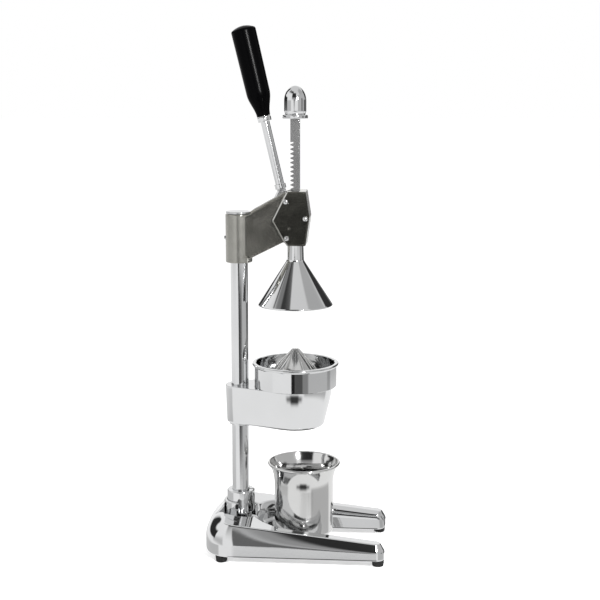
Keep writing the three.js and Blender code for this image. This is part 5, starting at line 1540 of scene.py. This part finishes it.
@dataclass
class Lever:
    """The drive gear and its shaft, the crank, the rod and the grip."""

    gear_x: float = GEAR_X
    height: float = MESH_HEIGHT
    teeth: int = 28
    shaft_radius: float = 5.0
    shaft_length: float = 47.6
    shaft_start: float = 11.6
    side: float = 31.0
    hub_width: float = 14.0
    hub_round: float = 12.5
    socket_round: float = 7.4
    boss_radius: float = 8.6
    boss_start: float = 16.2
    socket_bore: float = 5.5
    socket_depth: float = 12.6
    lead: float = 15.8
    tilt: float = math.radians(13.3)
    rod_radius: float = 5.2
    collar_rise: float = 39.0
    collar: Pair = (6.6, 6.0)
    ferrule: Pair = (8.0, 6.0)
    grip_rise: float = 124.8
    grip_length: float = 104.85
    grip_radii: Triple = (7.8, 13.7, 14.35)
    grip_shoulder_share: float = 0.27
    grip_end: Pair = (3.2, 3.0)
    grip_bend: float = math.radians(61.6)
    grip_bore: Pair = (5.5, 84.0)
    nut_radii: Pair = (7.0, 6.0)
    nut_heights: Triple = (6.0, 5.6, 3.0)

    def half_tooth(self, radius: float) -> float:
        """Find half the tooth's angle at a radius of the involute.

        Args:
            radius: The radius, in millimetres.

        Returns:
            The angle, in radians.
        """
        pitch_radius = MODULE * self.teeth / 2
        base = pitch_radius * math.cos(PRESSURE)
        angle = math.acos(base / radius) if radius > base else 0.0
        at_pitch = QUARTER / self.teeth - BACKLASH / 2 / pitch_radius
        return at_pitch + (math.tan(PRESSURE) - PRESSURE) - (math.tan(angle) - angle)

    def flank(self, radii: Sequence[float], way: int) -> list[Pair]:
        """Trace one flank of the tooth between two gaps.

        Args:
            radii: Radii of its points, from the root to the tip.
            way: -1 for the lower flank, 1 for the upper one.

        Returns:
            The flank's points, in the order of the radii.
        """
        middle = math.pi / self.teeth
        angles = [middle + way * self.half_tooth(radius) for radius in radii]
        return [(radius * math.cos(a), radius * math.sin(a)) for radius, a in zip(radii, angles)]

    def gear(self) -> bpy.types.Object:
        """Return the involute gear: one tooth repeated round a blank with a bore.

        Returns:
            The gear.
        """
        pitch_radius = MODULE * self.teeth / 2
        tip, root = pitch_radius + MODULE * TIP_SHARE, pitch_radius - MODULE * ROOT_SHARE
        base = pitch_radius * math.cos(PRESSURE)
        radii = [root - 0.5, base] + [base + (tip - base) * step / 5 for step in range(1, 6)]
        side = GEAR_WIDTH / 2
        outline = self.flank(radii, -1) + self.flank(radii, 1)[::-1]
        tooth = slab("gear", outline, -side, side, 0.15, 1, Axis.Y)
        teeth = repeated(tooth, self.teeth, TURNED, turn=(0, TURN / self.teeth, 0))
        profile = [(SHAFT_BORE, -side), (root, -side, 0.2), (root, side, 0.2), (SHAFT_BORE, side)]
        blank = turned("blank", softened(profile, closed=True), 112, ring=True)
        return laid(joined(teeth, laid(blank, Axis.Y)), place=(self.gear_x, 0, self.height))

    def crank(self) -> bpy.types.Object:
        """Return the crank from the shaft's boss to the rod's socket.

        Returns:
            The crank.
        """
        rise = self.collar_rise - GAP - self.socket_round
        x, z = self.lead - rise * math.sin(self.tilt), rise * math.cos(self.tilt)
        reach = math.hypot(x, z)
        edge = QUARTER + math.asin((self.socket_round - self.hub_round) / reach)
        way = math.atan2(z, x)
        outline = arc(0, 0, self.hub_round, way + edge, way + TURN - edge, 30)
        outline += arc(x, z, self.socket_round, way - edge, way + edge, 24)
        inner = self.side - self.hub_width / 2
        crank = slab("crank", outline, inner, inner + self.hub_width, 2.0, 5, Axis.Y)
        boss = rod("boss", self.boss_radius, inner + 2 - self.boss_start, 0.3)
        laid(boss, Axis.Y, (0, self.boss_start, 0))
        bore = laid(drill(SHAFT_BORE, self.shaft_length - self.shaft_start + GAP), Axis.Y)
        socket = drill(self.socket_bore, 24)
        laid(socket, place=(0, 0, self.collar_rise - self.socket_depth))
        laid(socket, place=(self.lead, self.side, 0), tilt=-self.tilt)
        return laid(carve(weld(crank, boss), bore, socket), place=(self.gear_x, 0, self.height))

    def on_rod(self, piece: bpy.types.Object, rise: float) -> bpy.types.Object:
        """Lay a piece made along Z on the tilted rod.

        Args:
            piece: The piece.
            rise: Its place along the rod, from the gear's height.

        Returns:
            The same piece.
        """
        laid(piece, place=(0, 0, rise))
        return laid(piece, place=(self.gear_x + self.lead, self.side, self.height), tilt=-self.tilt)

    def grip(self) -> bpy.types.Object:
        """Return the grip with its slim foot, full shoulder and domed end.

        Returns:
            The grip.
        """
        foot, shoulder, top = self.grip_radii
        length, shoulder_height = self.grip_length, self.grip_length * self.grip_shoulder_share
        flare = []
        flare_steps, end_steps = 24, 8
        for step in range(flare_steps + 1):
            share = step / flare_steps
            swell = (1 - math.cos(math.pi * share)) / 2
            flare.append((foot + (shoulder - foot) * swell, shoulder_height * share))
        flare[0] = (foot, 0.5)
        edge, crown = self.grip_end
        bend = arc(top - edge, length - crown - edge, edge, 0, self.grip_bend, 8)
        lip, level = bend[-1]
        shares = [1 - step / end_steps for step in range(1, end_steps + 1)]
        end = [(lip * share, length - (length - level) * share ** 2) for share in shares]
        bore, depth = self.grip_bore
        profile = [(0, depth), (bore, depth), (bore, 0), (foot - 0.5, 0)] + flare + bend + end
        return turned("black_grip", profile, 96)

    def nut(self) -> bpy.types.Object:
        """Return the domed nut on the shaft's end.

        Returns:
            The nut.
        """
        seat = self.side + self.hub_width / 2 + GAP
        radius, dome_radius = self.nut_radii
        height, start, rise = self.nut_heights
        body = slab("domed_nut", hexagon(radius), 0, height, 0.4)
        curve = [(dome_radius * x, start + rise * z) for x, z in arc(0, 0, 1, 0, QUARTER, 8)[:-1]]
        dome = turned("dome", [(0, height - 1), *curve, (0, start + rise)], 48)
        return laid(joined(body, dome), Axis.Y, (self.gear_x, seat, self.height))

    def build(self) -> None:
        """Make and dress every piece that turns with the lever."""
        dressed(self.gear(), TURNED, Body.LEVER, "drive_gear")
        shaft = rod("shaft", self.shaft_radius, self.shaft_length, 0.5)
        laid(shaft, Axis.Y, (self.gear_x, -self.shaft_start, self.height))
        dressed(shaft, TURNED, Body.LEVER, "gear_shaft")
        dressed(self.crank(), POLISHED, Body.LEVER, "lever_hub")
        dressed(self.nut(), POLISHED, Body.LEVER, "hub_nut")
        radius, height = self.collar
        ring = sleeve("rod_collar", self.rod_radius + GAP, radius, height)
        dressed(self.on_rod(ring, self.collar_rise), POLISHED, Body.LEVER, "lever_collar")
        start = self.collar_rise - self.socket_depth + GAP
        end = self.grip_rise + self.grip_bore[1] - GAP
        stem = rod("rod_bar", self.rod_radius, end - start, 0.5)
        dressed(self.on_rod(stem, start), BRIGHT_BAR, Body.LEVER, "lever_rod")
        radius, height = self.ferrule
        ring = sleeve("ferrule", self.rod_radius + GAP, radius, height, 1.2)
        dressed(self.on_rod(ring, self.grip_rise - GAP - height), POLISHED, Body.LEVER, "grip_ferrule")
        dressed(self.on_rod(self.grip(), self.grip_rise), GRIP_GLOSS, Body.LEVER, "lever_grip")


@dataclass
class KeptSolids:
    """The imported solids: each gets a finish, and the small and hidden ones keep their own meshes."""

    nodes: dict[str, bpy.types.Object]
    finishes: dict[str, Finish] = field(default_factory=lambda: {
        "foot_screw": TURNED, "column_bolt": TURNED, "column_washer": TURNED, "head_set_screw": TURNED,
        "shaft_bush": BUSH_BRONZE,
    })

    def build(self) -> None:
        """Give the kept solids their own finishes, and the replaced ones the polished one."""
        for name, solid in self.nodes.items():
            finish = next((f for start, f in self.finishes.items() if name.startswith(start)), POLISHED)
            solid.data.materials.clear()
            solid.data.materials.append(finish.material())
        LOG.info("finishes on %d solids", len(self.nodes))


@dataclass(frozen=True)
class SoftPatch:
    """A grey patch with soft edges in the white room round the object.

    Azimuth is measured from the camera's side, to the right as the camera sees it, and both angles are
    in degrees.
    """

    azimuth: Pair
    elevation: Pair
    tone: float
    softness: float = 3.0


def patch_tree() -> bpy.types.NodeTree:
    """Make the node group that lays one soft grey patch over the room's level.

    Returns:
        The node group.
    """
    tree = bpy.data.node_groups.new("soft_patch", "ShaderNodeTree")
    for label in ("Level", "Azimuth", "Elevation", "Left", "Right", "Low", "High", "Softness", "Tone"):
        tree.interface.new_socket(label, in_out="INPUT", socket_type="NodeSocketFloat")
    tree.interface.new_socket("Level", in_out="OUTPUT", socket_type="NodeSocketFloat")
    nodes, links = tree.nodes, tree.links
    given, result = nodes.new("NodeGroupInput"), nodes.new("NodeGroupOutput")

    def math_node(operation: str, first: bpy.types.NodeSocket,
                  second: bpy.types.NodeSocket) -> bpy.types.NodeSocket:
        """Add a math node with two inputs.

        Args:
            operation: What it does with them.
            first: What feeds the first input.
            second: What feeds the second input.

        Returns:
            Its output.
        """
        node = nodes.new("ShaderNodeMath")
        node.operation = operation
        links.new(first, node.inputs[0])
        links.new(second, node.inputs[1])
        return node.outputs[0]

    def edge(angle: str, border: str, rising: bool) -> bpy.types.NodeSocket:
        """Add a soft step across one border.

        Args:
            angle: The input that is compared.
            border: The input that holds the border.
            rising: Whether the patch lies above the border.

        Returns:
            The step's output, 1 inside.
        """
        node = nodes.new("ShaderNodeMapRange")
        node.interpolation_type = "SMOOTHSTEP"
        softness = given.outputs["Softness"]
        links.new(given.outputs[angle], node.inputs["Value"])
        links.new(math_node("SUBTRACT", given.outputs[border], softness), node.inputs["From Min"])
        links.new(math_node("ADD", given.outputs[border], softness), node.inputs["From Max"])
        node.inputs["To Min"].default_value = 0.0 if rising else 1.0
        node.inputs["To Max"].default_value = 1.0 if rising else 0.0
        return node.outputs["Result"]

    across = math_node("MULTIPLY", edge("Azimuth", "Left", True), edge("Azimuth", "Right", False))
    upward = math_node("MULTIPLY", edge("Elevation", "Low", True), edge("Elevation", "High", False))
    blend = nodes.new("ShaderNodeMapRange")
    links.new(math_node("MULTIPLY", across, upward), blend.inputs["Value"])
    links.new(given.outputs["Level"], blend.inputs["To Min"])
    links.new(given.outputs["Tone"], blend.inputs["To Max"])
    links.new(blend.outputs["Result"], result.inputs["Level"])
    return tree


@dataclass
class Studio:
    """White floor and room with soft grey patches for the reflections, soft lamps, and the camera."""

    camera_place: Triple = (0.1147, -1.4108, 0.5396)
    camera_target: Triple = (0.00393, 0.0, 0.29722)
    lens: float = 74.6
    sensor: float = 36.0
    camera_azimuth: float = 4.49
    centre: float = 0.3
    floor_size: float = 40.0
    floor_tone: float = 0.86
    floor_roughness: float = 0.9
    floor_lift: float = 0.34
    room_level: float = 0.8
    patches: tuple[SoftPatch, ...] = (
        SoftPatch((-200, 200), (38, 100), 0.78, 8.0),
        SoftPatch((28, 114), (-25, 34), 0.57, 4.0),
        SoftPatch((54, 118), (30, 62), 0.5, 6.0),
        SoftPatch((-200, -66), (-27, -15.5), 0.62, 4.0),
        SoftPatch((-100, -44), (-7, 3), 0.62, 4.0),
        SoftPatch((16, 36), (-17.5, -6), 0.28, 3.0),
        SoftPatch((-2, 20), (-17.5, -6), 0.1, 2.0),
        SoftPatch((-11, -1), (-17.5, -6), 0.02, 1.2),
        SoftPatch((3, 62), (-8.6, -3.5), 0.75, 0.8),
        SoftPatch((-17, 0), (-8.3, -3.8), 0.02, 0.8),
        SoftPatch((68, 82), (-5, 12), 0.15, 2.5),
        SoftPatch((-30, 22), (-32.5, -25.5), 0.16, 5.0),
        SoftPatch((-17, 11), (-37, -23), 0.05, 5.0),
        SoftPatch((-90, -22), (42, 58), 0.24, 3.5),
        SoftPatch((-60, -24), (45, 55), 0.05, 4.0),
        SoftPatch((-34, 12), (8, 46), 0.35, 6.0),
        SoftPatch((-34, 12), (19, 46), 0.03, 3.5),
        SoftPatch((-92, -84), (40, 45), 0.05, 1.5),
        SoftPatch((100, 172), (-13, 4), 0.14, 3.0),
        SoftPatch((118, 161), (3, 31), 0.04, 4.0),
        SoftPatch((-160, -90), (-2.0, 14), 0.03, 2.0),
        SoftPatch((-16, -3), (-0.7, 9), 0.16, 1.2),
    )

    def camera(self) -> None:
        """Create the camera of the photograph."""
        data = bpy.data.cameras.new("camera")
        data.lens = self.lens
        data.sensor_width = self.sensor
        made = bpy.data.objects.new("camera", data)
        made.location = self.camera_place
        way = Vector(self.camera_target) - Vector(self.camera_place)
        made.rotation_euler = way.to_track_quat("-Z", "Y").to_euler()
        bpy.context.scene.collection.objects.link(made)
        bpy.context.scene.camera = made

    def floor(self) -> None:
        """Make the pale floor, lifted to white for the camera where no shadow falls."""
        half = self.floor_size / 2
        corners = [(-half, -half, 0), (half, -half, 0), (half, half, 0), (-half, half, 0)]
        mesh = bpy.data.meshes.new("floor")
        mesh.from_pydata(corners, [], [(0, 1, 2, 3)])
        made = bpy.data.objects.new("floor", mesh)
        bpy.context.scene.collection.objects.link(made)
        paper = bpy.data.materials.new("floor_paper")
        paper.use_nodes = True
        nodes, links = paper.node_tree.nodes, paper.node_tree.links
        shader = nodes["Principled BSDF"]
        shader.inputs["Base Color"].default_value = (self.floor_tone, self.floor_tone, self.floor_tone, 1)
        shader.inputs["Roughness"].default_value = self.floor_roughness
        shader.inputs["Specular IOR Level"].default_value = 0.0
        lift = nodes.new("ShaderNodeEmission")
        ray = nodes.new("ShaderNodeLightPath")
        gate = nodes.new("ShaderNodeMapRange")
        gate.inputs["To Max"].default_value = self.floor_lift
        links.new(ray.outputs["Is Camera Ray"], gate.inputs["Value"])
        links.new(gate.outputs["Result"], lift.inputs["Strength"])
        both = nodes.new("ShaderNodeAddShader")
        links.new(shader.outputs["BSDF"], both.inputs[0])
        links.new(lift.outputs["Emission"], both.inputs[1])
        links.new(both.outputs["Shader"], nodes["Material Output"].inputs["Surface"])
        mesh.materials.append(paper)
        made.visible_glossy = False

    def room_reflection(self, nodes: bpy.types.Nodes, links: bpy.types.NodeLinks) -> bpy.types.NodeSocket:
        """Lay the patches over a white room by the direction from the object.

        Args:
            nodes: The world's nodes.
            links: The world's links.

        Returns:
            The level that polished pieces mirror.
        """
        way = nodes.new("ShaderNodeTexCoord").outputs["Generated"]
        turn = math.radians(self.camera_azimuth)
        parts = {}
        axes = {
            "right": (math.cos(turn), math.sin(turn), 0),
            "front": (math.sin(turn), -math.cos(turn), 0),
            "up": (0, 0, 1),
        }
        for label, axis in axes.items():
            dot = nodes.new("ShaderNodeVectorMath")
            dot.operation = "DOT_PRODUCT"
            dot.inputs[1].default_value = axis
            links.new(way, dot.inputs[0])
            parts[label] = dot.outputs["Value"]
        angles = []
        for operation, feeds in (("ARCTAN2", ("right", "front")), ("ARCSINE", ("up",))):
            angle = nodes.new("ShaderNodeMath")
            angle.operation = operation
            for place, feed in enumerate(feeds):
                links.new(parts[feed], angle.inputs[place])
            degrees = nodes.new("ShaderNodeMath")
            degrees.operation = "DEGREES"
            links.new(angle.outputs[0], degrees.inputs[0])
            angles.append(degrees.outputs[0])
        tree = patch_tree()
        level = None
        for patch in self.patches:
            step = nodes.new("ShaderNodeGroup")
            step.node_tree = tree
            step.inputs["Level"].default_value = 1.0
            if level:
                links.new(level, step.inputs["Level"])
            links.new(angles[0], step.inputs["Azimuth"])
            links.new(angles[1], step.inputs["Elevation"])
            borders = (*patch.azimuth, *patch.elevation, patch.softness, patch.tone)
            for label, value in zip(("Left", "Right", "Low", "High", "Softness", "Tone"), borders):
                step.inputs[label].default_value = value
            level = step.outputs["Level"]
        return level

    def world(self) -> None:
        """Make the room: white for the eye, patched for reflections, softer as a lamp."""
        made = bpy.data.worlds.new("white_room")
        made.use_nodes = True
        bpy.context.scene.world = made
        nodes, links = made.node_tree.nodes, made.node_tree.links
        back = nodes["Background"]
        back.inputs["Color"].default_value = (1, 1, 1, 1)
        ray = nodes.new("ShaderNodeLightPath")
        eye = nodes.new("ShaderNodeMapRange")
        eye.inputs["To Min"].default_value = self.room_level
        eye.inputs["To Max"].default_value = 1.0
        links.new(ray.outputs["Is Camera Ray"], eye.inputs["Value"])
        mirror = nodes.new("ShaderNodeMath")
        mirror.operation = "MAXIMUM"
        links.new(ray.outputs["Is Glossy Ray"], mirror.inputs[0])
        links.new(ray.outputs["Is Transmission Ray"], mirror.inputs[1])
        choice = nodes.new("ShaderNodeMapRange")
        links.new(mirror.outputs[0], choice.inputs["Value"])
        links.new(eye.outputs["Result"], choice.inputs["To Min"])
        links.new(self.room_reflection(nodes, links), choice.inputs["To Max"])
        links.new(choice.outputs["Result"], back.inputs["Strength"])

    def lamp(self, name: str, azimuth: float, elevation: float, size: Pair, power: float,
             reach: float = 1.8, height: float | None = None) -> bpy.types.Object:
        """Make a soft lamp that points at the object's middle line, hidden from camera and mirrors.

        Args:
            name: The lamp's name.
            azimuth: From the camera's side, to the right, in degrees.
            elevation: Over the point it looks at, in degrees.
            size: Its width and height, in metres.
            power: Its power, in watts.
            reach: Its distance, in metres.
            height: Height of the point it looks at, the object's middle where not given.

        Returns:
            The lamp.
        """
        aim = Vector((0, 0, self.centre if height is None else height))
        data = bpy.data.lights.new(name, "AREA")
        data.shape = "RECTANGLE"
        data.size, data.size_y = size
        data.energy = power
        made = bpy.data.objects.new(name, data)
        flat = math.radians(-90 + self.camera_azimuth + azimuth)
        up = math.radians(elevation)
        away = Vector((math.cos(up) * math.cos(flat), math.cos(up) * math.sin(flat), math.sin(up))) * reach
        made.location = away + aim
        made.rotation_euler = (-away).to_track_quat("-Z", "Y").to_euler()
        made.visible_glossy = False
        made.visible_camera = False
        bpy.context.scene.collection.objects.link(made)
        return made

    def build(self) -> None:
        """Make the camera, the floor, the room and the lamps, with a narrow one for the grip's sheen."""
        self.camera()
        self.floor()
        self.world()
        self.lamp("key", -48, 38, (0.9, 0.9), power=5)
        self.lamp("fill", 62, 30, (1.0, 1.0), power=3)
        self.lamp("top", 170, 70, (1.2, 1.2), power=4)
        sheen = self.lamp("grip_sheen", 23, 9, (0.13, 0.25), power=15, reach=1.1, height=0.6)
        sheen.visible_glossy = True
        bpy.context.scene.view_settings.view_transform = "Standard"


def main() -> None:
    """Load the frame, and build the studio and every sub-assembly."""
    logging.basicConfig(level=logging.INFO, format="%(name)s: %(message)s")
    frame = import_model()
    assemblies: list[tuple[str, Callable[[], None]]] = [
        ("studio", Studio().build),
        ("kept solids", KeptSolids(frame["nodes"]).build),
        ("base", Base().build),
        ("column", Column().build),
        ("bowl", Bowl().build),
        ("cup", Cup().build),
        ("press", Press().build),
        ("head", Head().build),
        ("lever", Lever().build),
    ]
    for name, build in assemblies:
        LOG.info("making the %s", name)
        build()


if __name__ == "__main__":
    main()
